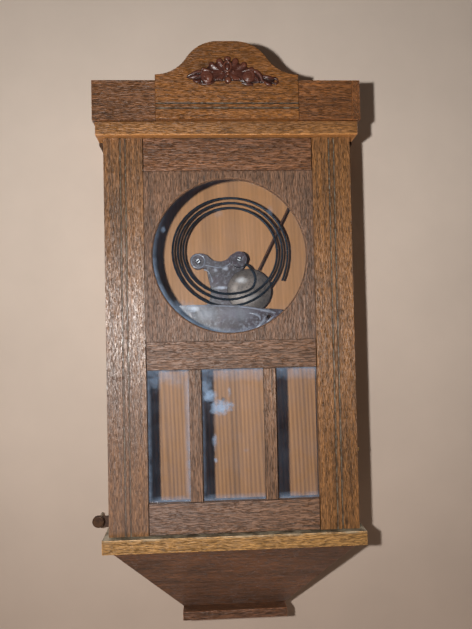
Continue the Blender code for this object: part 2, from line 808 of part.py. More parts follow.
def build_casting():
    """Bracket with two screwed bosses, a waist, and a wide apron that stands in front."""
    boss, (left, right) = BOSS_RADIUS, (BOSS_LEFT, BOSS_RIGHT)
    waist = [
        (left[0] - boss, left[1]),
        (left[0] - boss * 0.7, left[1] + boss * 0.75),
        (left[0] + 0.002, left[1] + boss),
        (left[0] + boss, left[1] + boss * 0.8),
        (-0.0198, 0.0060),
        (-0.0013, 0.0060),
        (right[0] - boss * 0.8, right[1] + boss * 0.8),
        (right[0], right[1] + boss),
        (right[0] + boss * 0.9, right[1] + boss * 0.45),
        (right[0] + boss * 0.8, right[1] - boss * 0.7),
        (0.0120, -0.0200),
        (0.0100, -0.0385),
        (0.0150, -0.0600),
        (0.0450, -0.0800),
        (0.0300, -0.0930),
        (-0.0600, -0.0930),
        (-0.0600, -0.0660),
        (-0.0300, -0.0580),
        (-0.0235, -0.0409),
        (-0.0273, -0.0167),
        (left[0] + boss * 0.9, left[1] - boss * 0.9),
        (left[0] - boss * 0.2, left[1] - boss),
    ]
    rear = -BACK_THICKNESS - GAP
    thick = rear - CASTING_FRONT
    place = Matrix.Translation((0, rear - thick / 2, 0)) @ FACE_FRONT
    casting = as_mesh(curve_plate("gong_casting", [waist], place, thick, True), PARTS)
    add_part(casting, "cast_iron")

    apron = [
        (-0.0980, -0.0740),
        (-0.0900, -0.0640),
        (-0.0700, -0.0600),
        (-0.0390, -0.0590),
        (0.0000, -0.0600),
        (0.0243, -0.0616),
        (0.0480, -0.0655),
        (0.0640, -0.0665),
        (0.0780, -0.0712),
        (0.0695, -0.0795),
        (0.0570, -0.0880),
        (0.0400, -0.0950),
        (-0.0100, -0.0985),
        (-0.0650, -0.0960),
        (-0.0920, -0.0860),
    ]
    thick = APRON_BACK - APRON_FRONT
    place = Matrix.Translation((0, (APRON_FRONT + APRON_BACK) / 2, 0)) @ FACE_FRONT
    front = as_mesh(curve_plate("casting_apron", [apron], place, thick, True), CUTTERS)
    boolean(casting, add_cutter(front), "UNION")
    join_box(
        casting,
        "casting_web",
        (-0.055, APRON_BACK - 0.002, -0.0915),
        (0.024, CASTING_FRONT + 0.002, -0.0750),
    )
    apron_hole = (0.0574, -0.0778)
    ends = ((apron_hole[0], -0.06, apron_hole[1]), (apron_hole[0], -0.03, apron_hole[1]))
    cut_cylinder(casting, "apron_hole", *ends, 0.0032)
    return casting


def screw_profile(head, rise, length, shank=0.0018):
    """A domed head standing on Z = 0 with a pointed shank below it."""
    return [
        (0.0, rise),
        (head * 0.6, rise * 0.9),
        (head, rise * 0.35),
        (head, 0.0),
        (shank, 0.0),
        (shank, -length + 0.003),
        (0.0, -length),
    ]


def build_gong(casting, back):
    x, z = BOSS_RIGHT
    rear, front = CASTING_FRONT - GAP, HUB_FRONT
    hub = cylinder_object("gong_hub", (x, front, z), (x, rear, z), HUB_RADIUS, 32)
    add_part(hub, "cast_iron")
    hub_screw = front - GAP
    boss_screw = CASTING_FRONT - GAP
    bottom = -0.0025  # how near the wall plane a screw's point comes
    for name, (sx, sz), seat in (
        ("casting_screw", BOSS_LEFT, boss_screw),
        ("hub_screw", BOSS_RIGHT, hub_screw),
    ):
        place = Matrix.Translation((sx, seat, sz)) @ FACE_FRONT
        length = bottom - seat
        turned(name, screw_profile(0.0052, 0.0028, length), place, "screw_steel", 20)
        ends = ((sx, -0.06, sz), (sx, -0.0020, sz))
        holed = (casting, back) if name == "casting_screw" else (casting, back, hub)
        for piece in holed:
            cut_cylinder(piece, f"{name}_in_{piece.name}", *ends, 0.0021, 12)
    build_coil()


def coil_point(turn):
    """Centre of the wire after this many turns, clockwise from the bottom as seen from the front."""
    angle = 2 * math.pi * turn
    radius = COIL_FIRST_RADIUS + COIL_PITCH * turn + COIL_SPLAY * max(0.0, turn - 2.75) ** 2
    droop = COIL_DROOP * (turn / 2) ** 2 * max(0.0, math.cos(angle)) ** 2
    x = COIL_CENTRE[0] - radius * math.sin(angle)
    z = COIL_CENTRE[1] - radius * math.cos(angle) * COIL_SQUASH - droop
    return Vector((x, COIL_Y, z))


def smooth_through(points, steps):
    """Catmull-Rom samples between the second and the second-last of the points."""
    samples = []
    for i in range(1, len(points) - 2):
        a, b, c, d = points[i - 1 : i + 3]
        for k in range(steps):
            t = k / steps
            samples.append(
                0.5
                * (
                    2 * b
                    + (c - a) * t
                    + (2 * a - 5 * b + 4 * c - d) * t**2
                    + (3 * b - a - 3 * c + d) * t**3
                )
            )
    return samples


def build_coil():
    """Gong wire: a short curl from the hub, then a flat spiral outwards."""
    hub = Vector((BOSS_RIGHT[0], COIL_Y, BOSS_RIGHT[1]))
    curl = [(0.0326, -0.0062), (0.0400, -0.0200), (0.0362, -0.0348), (0.0225, -0.0415)]
    curl = [Vector((x, COIL_Y, z)) for x, z in curl]
    start = hub + (curl[0] - hub).normalized() * (HUB_RADIUS + 0.0006)
    guide = [hub, start] + curl + [coil_point(0.0), coil_point(0.03)]
    per_turn = 44
    points = smooth_through(guide, 4)
    points += [coil_point(i / per_turn) for i in range(int(COIL_TURNS * per_turn) + 1)]
    points.append(coil_point(COIL_TURNS))
    curve = bpy.data.curves.new("gong_coil", "CURVE")
    curve.dimensions = "3D"
    curve.bevel_depth = WIRE_RADIUS
    curve.bevel_resolution = 2
    curve.use_fill_caps = True
    spline = curve.splines.new("POLY")
    spline.points.add(len(points) - 1)
    for point, place in zip(spline.points, points):
        point.co = (*place, 1.0)
    add_part(bpy.data.objects.new("gong_coil", curve), "gong_steel")


def build_pendulum():
    """Loose pendulum lying behind the coil: a disc bob and a slender wooden rod."""
    x, z = BOB_CENTRE
    half, rim = (BOB_BACK - BOB_FRONT) / 2, 0.0012
    profile = []
    steps = 5
    for i in range(steps + 1):
        part = i / steps
        profile.append((BOB_RADIUS * part, rim + (half - rim) * math.sqrt(1 - part**2)))
    profile += [(radius, -height) for radius, height in reversed(profile)]
    place = Matrix.Translation((x, (BOB_FRONT + BOB_BACK) / 2, z)) @ FACE_FRONT
    turned("pendulum_bob", profile, place, "brass_dark", 36)

    y = (BOB_FRONT + BOB_BACK) / 2
    centre, end = Vector((x, y, z)), Vector((ROD_END[0], y, ROD_END[1]))
    along = (end - centre).normalized()
    rod = cylinder_object("pendulum_rod", centre + along * (BOB_RADIUS + GAP), end, 0.0028, 12)
    add_part(rod, "oak_dark")


# ---------------------------------------------------------------- assembly


def build():
    back = build_box()
    sides = {side: bpy.data.objects[f"side_{side}"] for side in ("left", "right")}
    build_hanging_plate(back)
    build_cornice()
    build_crest()
    build_carving()
    build_pendant()

    door = build_stiles(door_mortises())
    door += build_rails()
    cut_rebates(door)
    door.append(build_dial_panel())
    wide = DIAL_OPENING + REBATE
    behind_panel = PANEL_FRONT + PANEL_THICKNESS + GAP
    door += build_glazing("dial", wide, -wide, wide, behind_panel)
    low, high = LOWER_BOTTOM - REBATE, LOWER_TOP + REBATE
    door += build_glazing("lower", wide, low, high, LOWER_LIP_BACK + GAP)
    door += build_muntins()
    door += build_hinges(sides["left"])
    door.append(build_latch(sides["right"]))
    hang_on(pivot("door_axis", (HINGE_X, HINGE_Y, (DOOR_TOP + DOOR_BOTTOM) / 2)), door)

    build_leveller()
    casting = build_casting()
    build_gong(casting, back)
    build_pendulum()
    for obj in PARTS.objects:
        if obj.type == "MESH":
            obj.data.shade_smooth()
            obj.data.set_sharp_from_angle(angle=math.radians(35))


build()
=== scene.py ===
"""Looks of the oak wall-clock case: finishes, fine detail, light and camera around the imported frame."""

import math

import bmesh
import bpy
from mathutils import Matrix, Vector


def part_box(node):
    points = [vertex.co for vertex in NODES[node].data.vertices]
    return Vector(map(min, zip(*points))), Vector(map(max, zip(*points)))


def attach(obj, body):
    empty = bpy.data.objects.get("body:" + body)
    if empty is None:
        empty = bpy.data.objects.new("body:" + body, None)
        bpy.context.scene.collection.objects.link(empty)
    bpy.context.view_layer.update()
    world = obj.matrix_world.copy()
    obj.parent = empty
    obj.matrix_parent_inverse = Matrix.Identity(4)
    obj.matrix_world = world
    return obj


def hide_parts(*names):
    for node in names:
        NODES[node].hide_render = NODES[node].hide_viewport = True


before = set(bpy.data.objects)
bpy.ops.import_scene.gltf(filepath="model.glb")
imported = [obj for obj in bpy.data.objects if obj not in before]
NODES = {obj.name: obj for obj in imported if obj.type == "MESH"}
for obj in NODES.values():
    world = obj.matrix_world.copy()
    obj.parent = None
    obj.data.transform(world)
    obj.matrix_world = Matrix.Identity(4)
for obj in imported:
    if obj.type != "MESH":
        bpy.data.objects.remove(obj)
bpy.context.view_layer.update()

MM = 0.001

# Camera: place in metres, turns in radians, focal length in heights of the picture.
CAMERA_PLACE = (-0.0392, -0.9436, -0.1003)
CAMERA_YAW = -0.0558
CAMERA_PITCH = 0.0297
CAMERA_ROLL = 0.0210
CAMERA_FOCAL = 639.18 / 629
SENSOR = 36

LAMP_PLACE = (-0.165, -0.955, -0.088)
LAMP_SIZE = 0.026
LAMP_POWER = 7.7
FILL_STRENGTH = 0.030
FILL_COLOUR = (1.0, 0.80, 0.62, 1)
SURROUND_COLOUR = (0.60, 0.56, 0.52, 1)

# The wall behind the case, which turns forward into a floor, in metres.
WALL_Y = 0.0035
WALL_TOP = 1.6
WALL_FOOT = -0.55
WALL_CURVE = 0.18
WALL_CURVE_STEPS = 12
WALL_HALF_WIDTH = 2.2
FLOOR_FRONT = -3.0

# Places on the object that finishes and details follow, in metres.
CREST_Y = -0.1486
GLASS_Y = -0.1207
IRON_FACE = -0.0240
APRON_FACE = -0.0460
CASE_EDGE = (0.150, 0.154)
STILE_GROOVES = (0.1374, 0.1310)
STILE_GROOVE_HALF = 0.0009
CREST_GROOVES = (0.1896, 0.1836)
CREST_GROOVE_HALF = 0.0010
CREST_SHADE = (0.205, 0.262)
# Heights of the strip's painted shadow under the frieze and of the painted highlight on its lower edge.
STRIP_SHADOW = (0.1600, 0.1693)
STRIP_HIGHLIGHT = (0.1545, 0.1522)
SHELF_RUBBED = (-0.3560, -0.3533)
WINDOW_HAZE = (0.0925, 0.1005)
LIGHTS_TOP_HAZE = (-0.166, -0.146)
LIGHTS_FOOT_HAZE = (-0.303, -0.3115)

METAL_RELIEF = 0.00012
GLASS_MIRROR = 0.4

# Eased edges: angles in degrees above which shading breaks and a bevel is cut.
SMOOTH_ANGLE = 32
WELD_DISTANCE = 1e-5
DISSOLVE_ANGLE = 0.4
NODE_BEVEL_ANGLE = 40
PIECE_BEVEL_ANGLE = 35
BEVEL_SEGMENTS = 2

# Added pieces: half widths in metres, and steps round a turned or swept shape.
BEAD_HALF = 0.0011
BOSS_RING = 0.0096
BOSS_RING_HALF = 0.0010
ROD_HALF = 0.0015
ROD_STEPS = 12
LATHE_STEPS = 36
BAR_SIDES = 12

# The carving is fused on a grid of this size, and bosses above the knee are pressed down.
CARVING_VOXEL = 0.00042
CARVING_KNEE = 0.0042
CARVING_SQUASH = 0.42


# ---------------------------------------------------------------- node helpers


class Tree:
    """A material's node tree, with short ways to add and join nodes."""

    def __init__(self, name):
        self.material = bpy.data.materials.new(name)
        self.material.use_nodes = True
        self.nodes = self.material.node_tree.nodes
        self.links = self.material.node_tree.links
        self.nodes.clear()
        self.output = self.nodes.new("ShaderNodeOutputMaterial")

    def put(self, socket, value):
        if isinstance(value, bpy.types.NodeSocket):
            self.links.new(value, socket)
        elif isinstance(value, (tuple, list)) and len(value) == 3 and socket.type == "RGBA":
            socket.default_value = (*value, 1)
        else:
            socket.default_value = value

    def add(self, kind, inputs=None, **settings):
        made = self.nodes.new(kind)
        for key, value in settings.items():
            setattr(made, key, value)
        for key, value in (inputs or {}).items():
            self.put(made.inputs[key], value)
        return made

    def place(self):
        return self.add("ShaderNodeTexCoord").outputs["Object"]

    def stretch(self, vector, scale, shift=(0, 0, 0)):
        made = self.add("ShaderNodeMapping", {"Vector": vector, "Scale": scale, "Location": shift})
        return made.outputs["Vector"]

    def noise(self, vector, scale, detail=2.0, rough=0.5, warp=0.0):
        inputs = {"Vector": vector, "Scale": scale, "Detail": detail, "Roughness": rough, "Distortion": warp}
        return self.add("ShaderNodeTexNoise", inputs).outputs["Fac"]

    def wave(self, vector, scale, warp, detail, detail_scale):
        inputs = {
            "Vector": vector,
            "Scale": scale,
            "Distortion": warp,
            "Detail": detail,
            "Detail Scale": detail_scale,
        }
        made = self.add("ShaderNodeTexWave", inputs, wave_type="BANDS", bands_direction="DIAGONAL")
        return made.outputs["Fac"]

    def math(self, operation, first, second=0.0, third=0.0, clamp=False):
        made = self.add("ShaderNodeMath", operation=operation, use_clamp=clamp)
        for socket, value in zip(made.inputs, (first, second, third)):
            self.put(socket, value)
        return made.outputs[0]

    def span(self, value, low, high, to_low=0.0, to_high=1.0):
        """value moved from low..high to to_low..to_high, held at its ends."""
        inputs = {"Value": value, "From Min": low, "From Max": high, "To Min": to_low, "To Max": to_high}
        return self.add("ShaderNodeMapRange", inputs).outputs["Result"]

    def mix(self, amount, first, second, blend="MIX"):
        made = self.add("ShaderNodeMix", data_type="RGBA", blend_type=blend)
        self.put(made.inputs[0], amount)
        self.put(made.inputs[6], first)
        self.put(made.inputs[7], second)
        return made.outputs[2]

    def ramp(self, value, stops):
        made = self.add("ShaderNodeValToRGB", {"Fac": value})
        points = made.color_ramp.elements
        points[0].position, points[1].position = stops[0][0], stops[-1][0]
        points[0].color, points[1].color = (*stops[0][1], 1), (*stops[-1][1], 1)
        for position, colour in stops[1:-1]:
            points.new(position).color = (*colour, 1)
        return made.outputs["Color"]

    def bump(self, height, distance, strength):
        inputs = {"Height": height, "Distance": distance, "Strength": strength}
        return self.add("ShaderNodeBump", inputs).outputs["Normal"]

    def axes(self, vector):
        return self.add("ShaderNodeSeparateXYZ", {"Vector": vector}).outputs

    def near(self, vector, centre, radii, warp, warp_scale):
        """1 at centre, falling to 0 at the radii, with an uneven edge."""
        away = self.add("ShaderNodeVectorMath", {0: vector, 1: centre}, operation="SUBTRACT").outputs[0]
        flat = self.add("ShaderNodeVectorMath", {0: away, 1: radii}, operation="DIVIDE").outputs[0]
        length = self.add("ShaderNodeVectorMath", {0: flat}, operation="LENGTH").outputs["Value"]
        uneven = self.math("SUBTRACT", self.noise(vector, warp_scale, 3, 0.6), 0.5)
        length = self.math("ADD", length, self.math("MULTIPLY", uneven, warp))
        return self.span(length, 1.0, 0.25)

    def shader(self, colour, roughness, normal, **more):
        inputs = {"Base Color": colour, "Roughness": roughness, "Normal": normal}
        inputs.update({key.replace("_", " "): value for key, value in more.items()})
        made = self.add("ShaderNodeBsdfPrincipled", inputs)
        self.links.new(made.outputs["BSDF"], self.output.inputs["Surface"])


def rgb(red, green, blue):
    """A colour as read on a screen, 0 to 255, turned to the linear values that shaders take."""
    shares = (red / 255, green / 255, blue / 255)
    return tuple(c / 12.92 if c <= 0.04045 else ((c + 0.055) / 1.055) ** 2.4 for c in shares)


def scaled(colour, factor):
    return tuple(min(1.0, c * factor) for c in colour)


# ------------------------------------------------------------------- materials

# Ray flecks are short bright marks, wider across the grain than the pores.
FLECKS = {"X": (0.30, 0.5, 1), "Y": (1, 0.30, 0.5), "Z": (1, 0.5, 0.30)}


def stretched(axis, along):
    """Scales that draw a pattern out along the grain."""
    return tuple(along if letter == axis else 1.0 for letter in "XYZ")


def oak(name, axis, tone, shift=0.0, gloss=0.42, streaks=1.0, worn=0.0, extra=None, shine=0.5):
    """Varnished oak with its grain along axis.

    tone is the middle colour. worn is for edges: near 1 rubbed bright, near 0 grimy, and brighter
    on the case's outer corners. extra paints what is particular to one board."""
    tree = Tree(name)
    place = tree.place()
    offset = (shift, shift * 0.7, shift * 1.3)
    blotch = tree.noise(tree.stretch(place, stretched(axis, 0.35), offset), 22, 3, 0.6)
    rings = tree.wave(tree.stretch(place, stretched(axis, 0.04), offset), 62, 7.0, 3.0, 0.9)
    broad = tree.noise(tree.stretch(place, stretched(axis, 0.03), offset), 420, 3, 0.6)
    fine = tree.noise(tree.stretch(place, stretched(axis, 0.055), offset), 1050, 2, 0.6)
    dashes = tree.noise(tree.stretch(place, stretched(axis, 0.075), offset), 1500, 1, 0.5)
    total = tree.math("MULTIPLY", blotch, 0.42)
    total = tree.math("MULTIPLY_ADD", rings, 0.10 * streaks, total)
    total = tree.math("MULTIPLY_ADD", broad, 0.42 * streaks, total)
    total = tree.math("MULTIPLY_ADD", fine, 0.80 * streaks, total)
    middle = 0.21 + 0.66 * streaks
    total = tree.span(total, middle - 0.30, middle + 0.30)
    colour = tree.ramp(
        total,
        [
            (0.0, scaled(tone, 0.22)),
            (0.28, scaled(tone, 0.55)),
            (0.50, tone),
            (0.74, scaled(tone, 1.42)),
            (1.0, scaled(tone, 2.0)),
        ],
    )
    open_grain = tree.span(dashes, 0.53, 0.62)
    colour = tree.mix(tree.math("MULTIPLY", open_grain, 0.72), colour, scaled(tone, 0.20))
    flecks = tree.noise(tree.stretch(place, FLECKS[axis], offset), 620, 2, 0.5)
    colour = tree.mix(tree.span(flecks, 0.60, 0.70, 0, 0.42), colour, scaled(tone, 1.85))
    if worn:
        rub = tree.noise(place, 240, 4, 0.7)
        across = tree.math("ABSOLUTE", tree.axes(place)[0])
        outer = tree.span(across, *CASE_EDGE, worn, max(worn, 0.85))
        light = tree.math("MULTIPLY", tree.span(rub, 0.40, 0.58), outer)
        dark = tree.math("SUBTRACT", 0.9, outer, clamp=True)
        colour = tree.mix(light, colour, scaled(tone, 2.1))
        colour = tree.mix(dark, colour, scaled(tone, 0.14))
    if extra:
        colour = extra(tree, place, colour, tone)
    x, _, z = tree.axes(place)
    # A greyish painted sheen grows towards the lower left and stops at the shelf.
    painted_sheen = tree.math("MULTIPLY", tree.span(x, 0.12, -0.14), tree.span(z, 0.06, -0.16, 0.0, 0.34))
    painted_sheen = tree.math("MULTIPLY", painted_sheen, tree.span(z, -0.350, -0.345))
    colour = tree.mix(painted_sheen, colour, rgb(136, 116, 110))
    height = tree.math("MULTIPLY_ADD", open_grain, -0.8, tree.math("MULTIPLY", fine, 0.9))
    normal = tree.bump(height, 0.0011, 0.75)
    roughness = tree.span(broad, 0.3, 0.7, gloss + 0.10, gloss - 0.06)
    tree.shader(colour, roughness, normal, Specular_IOR_Level=shine)
    return tree.material


def stile_groove_shade(tree, place, colour, tone):
    """Painted shade in the two grooves that run down a stile, with greyish dust in parts of them."""
    across = tree.math("ABSOLUTE", tree.axes(place)[0])
    return groove_shade_and_dust(tree, place, colour, tone, across, STILE_GROOVES, STILE_GROOVE_HALF)


def strip_shadow_and_highlight(tree, place, colour, tone):
    """Painted shadow along the top of the strip, under the frieze, and a painted highlight along its lower
    edge.
    """
    height = tree.axes(place)[2]
    colour = tree.mix(tree.span(height, *STRIP_SHADOW, 0.0, 0.55), colour, scaled(tone, 0.5))
    return tree.mix(tree.span(height, *STRIP_HIGHLIGHT, 0.0, 0.6), colour, scaled(tone, 2.0))


def shelf_top_shade_and_wear(tree, place, colour, tone):
    """Painted shade on the shelf's upper face, and paler wear along its front edges."""
    up = tree.axes(tree.add("ShaderNodeNewGeometry").outputs["Normal"])[2]
    # Painted shade: faces that look upwards are darkened.
    colour = tree.mix(tree.span(up, 0.75, 0.95, 0.0, 0.9), colour, rgb(46, 40, 28))
    height = tree.axes(place)[2]
    rub = tree.noise(place, 60, 3, 0.6)
    edge = tree.span(height, *SHELF_RUBBED)
    edge = tree.math("MULTIPLY", edge, tree.span(rub, 0.4, 0.6, 0.2, 1.0))
    return tree.mix(tree.math("MULTIPLY", edge, 0.6), colour, rgb(214, 200, 172))


def crest_lines(tree, place, colour, tone):
    """Painted shade and grey dust in the two grooves across the crest board, and the board darkened towards
    its crown.
    """
    height = tree.axes(place)[2]
    crown = tree.span(height, *CREST_SHADE, 0.0, 0.45)
    colour = tree.mix(crown, colour, scaled(tone, 0.55))
    return groove_shade_and_dust(tree, place, colour, tone, height, CREST_GROOVES, CREST_GROOVE_HALF)


def groove_shade_and_dust(tree, place, colour, tone, across, lines, half_width):
    """Fills a groove at each of the lines, measured by across, with painted shade mixed with grey dust."""
    dust = tree.span(tree.noise(place, 160, 3, 0.6), 0.42, 0.62, 0.15, 0.85)
    fill = tree.mix(dust, scaled(tone, 0.20), rgb(128, 122, 108))
    for line in lines:
        gap = tree.math("ABSOLUTE", tree.math("SUBTRACT", across, line))
        inside = tree.span(gap, half_width, half_width * 0.55)
        colour = tree.mix(inside, colour, fill)
    return colour


# Middle colours of the finishes, as read on a screen and tuned against the photo.
TONE_STILE = rgb(134, 93, 57)
TONE_MUNTIN = rgb(122, 88, 62)
TONE_RAIL = rgb(118, 82, 56)
TONE_FRIEZE = rgb(138, 87, 47)
TONE_FRIEZE_LEFT = rgb(119, 77, 45)
TONE_CREST = rgb(145, 92, 43)
TONE_STRIP = rgb(164, 112, 62)
TONE_SHELF = rgb(168, 124, 70)
TONE_RAIL_TOP = rgb(127, 84, 54)
TONE_STILE_RIGHT = rgb(139, 95, 54)
TONE_PANEL = rgb(118, 84, 60)
TONE_PENDANT = rgb(101, 65, 42)
TONE_SIDE = rgb(122, 88, 62)
TONE_BACK = rgb(176, 124, 76)
TONE_COVE = rgb(84, 58, 40)


# Knots as (centre, radius), in metres.
KNOTS = [((-0.0085, 0, -0.196), 0.0042), ((0.0520, 0, -0.215), 0.0034), ((-0.084, 0, -0.060), 0.004)]


def softwood(name):
    """The back board: pale stained pine with upright grain lines and a few knots."""
    tree = Tree(name)
    place = tree.place()
    along = tree.stretch(place, (1, 1, 0.03), (0.31, 0, 0))
    lines = tree.wave(along, 105, 4.0, 2.0, 0.5)
    broad = tree.noise(along, 60, 3, 0.6)
    fine = tree.noise(along, 900, 3, 0.6)
    low = tree.span(tree.axes(place)[2], -0.08, -0.15, 0.08, 0.30)
    total = tree.math("MULTIPLY", tree.math("SUBTRACT", lines, 0.5), low)
    total = tree.math("ADD", total, 0.14)
    total = tree.math("MULTIPLY_ADD", broad, 0.62, total)
    total = tree.math("MULTIPLY_ADD", fine, 0.30, total)
    total = tree.span(total, 0.26, 0.86)
    tone = TONE_BACK
    stops = [(0, scaled(tone, 0.5)), (0.45, tone), (0.75, scaled(tone, 1.25)), (1, scaled(tone, 1.5))]
    colour = tree.ramp(total, stops)
    shade = tree.span(tree.axes(place)[2], -0.12, -0.15, 1.0, 0.86)
    colour = tree.mix(1.0, colour, shade, "MULTIPLY")
    for centre, radius in KNOTS:
        spot = tree.near(place, centre, (radius, 1.0, radius * 1.2), 0.5, 300)
        colour = tree.mix(tree.math("MULTIPLY", spot, 0.85), colour, scaled(tone, 0.16))
    tree.shader(colour, tree.span(fine, 0.3, 0.7, 0.62, 0.5), tree.bump(fine, 0.0002, 0.4))
    return tree.material


def metal(name, base, bright, metallic, rough, grime, grain=300, painted_highlights=()):
    """A worn metal: base with brighter rubbed patches, grime in uneven spots, and painted highlights where
    given.
    """
    tree = Tree(name)
    place = tree.place()
    patches = tree.noise(place, grain * 0.35, 4, 0.6)
    spots = tree.noise(place, grain * 2.2, 3, 0.6)
    colour = tree.mix(tree.span(patches, 0.38, 0.66), base, bright)
    colour = tree.mix(tree.span(spots, 0.52, 0.68, 0, 0.85), colour, grime)
    # Painted highlights: pale spots at the given places.
    for centre, radii, strength in painted_highlights:
        mark = tree.near(place, centre, radii, 0.9, 220)
        colour = tree.mix(tree.math("MULTIPLY", mark, strength), colour, rgb(196, 196, 200))
    roughness = tree.span(patches, 0.3, 0.7, rough + 0.12, rough - 0.05)
    normal = tree.bump(spots, METAL_RELIEF, 0.6)
    tree.shader(colour, roughness, normal, Metallic=metallic)
    return tree.material


# Dusty patches and painted highlights on the gong's standard and apron: centre, radii and strength.
IRON_DUST_AND_HIGHLIGHTS = [
    ((-0.002, -0.030, -0.006), (0.006, 0.05, 0.004), 0.75),
    ((-0.016, -0.030, -0.008), (0.004, 0.05, 0.004), 0.55),
    ((-0.008, -0.030, -0.034), (0.012, 0.05, 0.003), 0.85),
    ((-0.048, -0.046, -0.064), (0.010, 0.05, 0.006), 0.80),
    ((-0.030, -0.046, -0.072), (0.020, 0.05, 0.012), 0.34),
    ((0.012, -0.046, -0.072), (0.034, 0.05, 0.014), 0.22),
]


def cast_iron(name, painted_sheen=0.0, rough=0.32):
    """Black-brown japanned iron with dust, and dusty patches mixed with painted highlights, on what faces
    the room.
    """
    tree = Tree(name)
    place = tree.place()
    broad = tree.noise(place, 46, 3, 0.6, 0.6)
    fine = tree.noise(place, 700, 3, 0.6)
    base = tree.mix(tree.span(broad, 0.35, 0.65), rgb(42, 31, 36), rgb(78, 62, 72))
    dust = tree.span(tree.noise(place, 210, 4, 0.75), 0.50, 0.66, 0.0, 0.30)
    for centre, radii, strength in IRON_DUST_AND_HIGHLIGHTS:
        mark = tree.near(place, centre, radii, 1.1, 260)
        dust = tree.math("MAXIMUM", dust, tree.math("MULTIPLY", mark, strength))
    # A painted sheen over the whole surface, as a painted highlight, set by painted_sheen.
    dust = tree.math("MAXIMUM", dust, tree.span(broad, 0.40, 0.60, painted_sheen * 0.5, painted_sheen))
    colour = tree.mix(dust, base, rgb(196, 204, 222))
    roughness = tree.span(broad, 0.3, 0.7, rough + 0.08, rough - 0.08)
    normal = tree.bump(tree.math("MULTIPLY_ADD", fine, 0.10, broad), 0.0007, 0.45)
    tree.shader(colour, roughness, normal, Metallic=0.0, Specular_IOR_Level=0.32)
    return tree.material


def pane(name, smears, edge, veil):
    """Old glass: clear with a faint gloss, dusty towards its edges, with smears where it was touched.

    smears holds (centre, radii, strength) in metres, and edge makes the haze along the glass's border."""
    tree = Tree(name)
    place = tree.place()
    film = tree.span(tree.noise(place, 30, 4, 0.6, 0.8), 0.35, 0.80, veil * 0.25, veil)
    specks = tree.span(tree.noise(place, 420, 2, 0.5), 0.72, 0.80, 0, 0.12)
    dust = tree.math("MAXIMUM", film, specks)
    cloud = tree.span(tree.noise(place, 75, 4, 0.65, 0.5), 0.30, 0.70, 0.25, 1.0)
    dust = tree.math("MAXIMUM", dust, tree.math("MULTIPLY", edge(tree, place), cloud))
    for centre, radii, strength in smears:
        mark = tree.math("MULTIPLY", tree.near(place, centre, radii, 1.3, 190), cloud)
        dust = tree.math("MAXIMUM", dust, tree.math("MULTIPLY", mark, strength))
    clear = tree.add("ShaderNodeBsdfTransparent", {"Color": (0.97, 0.98, 0.985, 1)}).outputs[0]
    film_shader = tree.add("ShaderNodeBsdfDiffuse", {"Color": (*rgb(150, 172, 200), 1)}).outputs[0]
    shine = tree.add("ShaderNodeBsdfGlossy", {"Color": (1, 1, 1, 1), "Roughness": 0.06}).outputs[0]
    body = tree.add("ShaderNodeMixShader", {0: dust, 1: clear, 2: film_shader}).outputs[0]
    # A weaker mirror than real glass, which was noisy in side views.
    fresnel = tree.add("ShaderNodeFresnel", {"IOR": 1.45}).outputs[0]
    mirror = tree.math("MULTIPLY", fresnel, GLASS_MIRROR)
    surface = tree.add("ShaderNodeMixShader", {0: mirror, 1: body, 2: shine}).outputs[0]
    # Lamp rays pass, so the dust casts no shadow on what is behind the glass.
    lamp_ray = tree.add("ShaderNodeLightPath").outputs["Is Shadow Ray"]
    surface = tree.add("ShaderNodeMixShader", {0: lamp_ray, 1: surface, 2: clear}).outputs[0]
    tree.links.new(surface, tree.output.inputs["Surface"])
    return tree.material


def round_edge(tree, place):
    """Haze round the dial window, thickest at its lower left."""
    x, _, z = tree.axes(place)
    squares = tree.math("ADD", tree.math("MULTIPLY", x, x), tree.math("MULTIPLY", z, z))
    reach = tree.math("SQRT", squares)
    low_left = tree.math("MULTIPLY", tree.math("ADD", x, z), -1.0)
    thick = tree.span(low_left, 0.02, 0.135, 0.05, 0.50)
    return tree.math("MULTIPLY", tree.span(reach, *WINDOW_HAZE), thick)


def light_edge(tree, place):
    """Haze along the top, left and foot of each of the three lights below the dial."""
    x, _, z = tree.axes(place)
    haze = tree.span(z, *LIGHTS_TOP_HAZE, 0.0, 0.34)
    haze = tree.math("MAXIMUM", haze, tree.span(z, *LIGHTS_FOOT_HAZE, 0.0, 0.30))
    for left, strength in ((-0.1090, 0.30), (-0.0400, 0.22), (0.0555, 0.08)):
        inside = tree.span(x, left - 0.0005, left)
        fade = tree.span(x, left + 0.0065, left + 0.0005, 0.0, strength)
        haze = tree.math("MAXIMUM", haze, tree.math("MULTIPLY", inside, fade))
    # A band of haze against the left muntin.
    side = tree.span(x, -0.064, -0.0556, 0.0, 0.35)
    side = tree.math("MULTIPLY", side, tree.span(x, -0.0550, -0.0556))
    return tree.math("MAXIMUM", haze, side)


# ------------------------------------------------------------------- modifiers


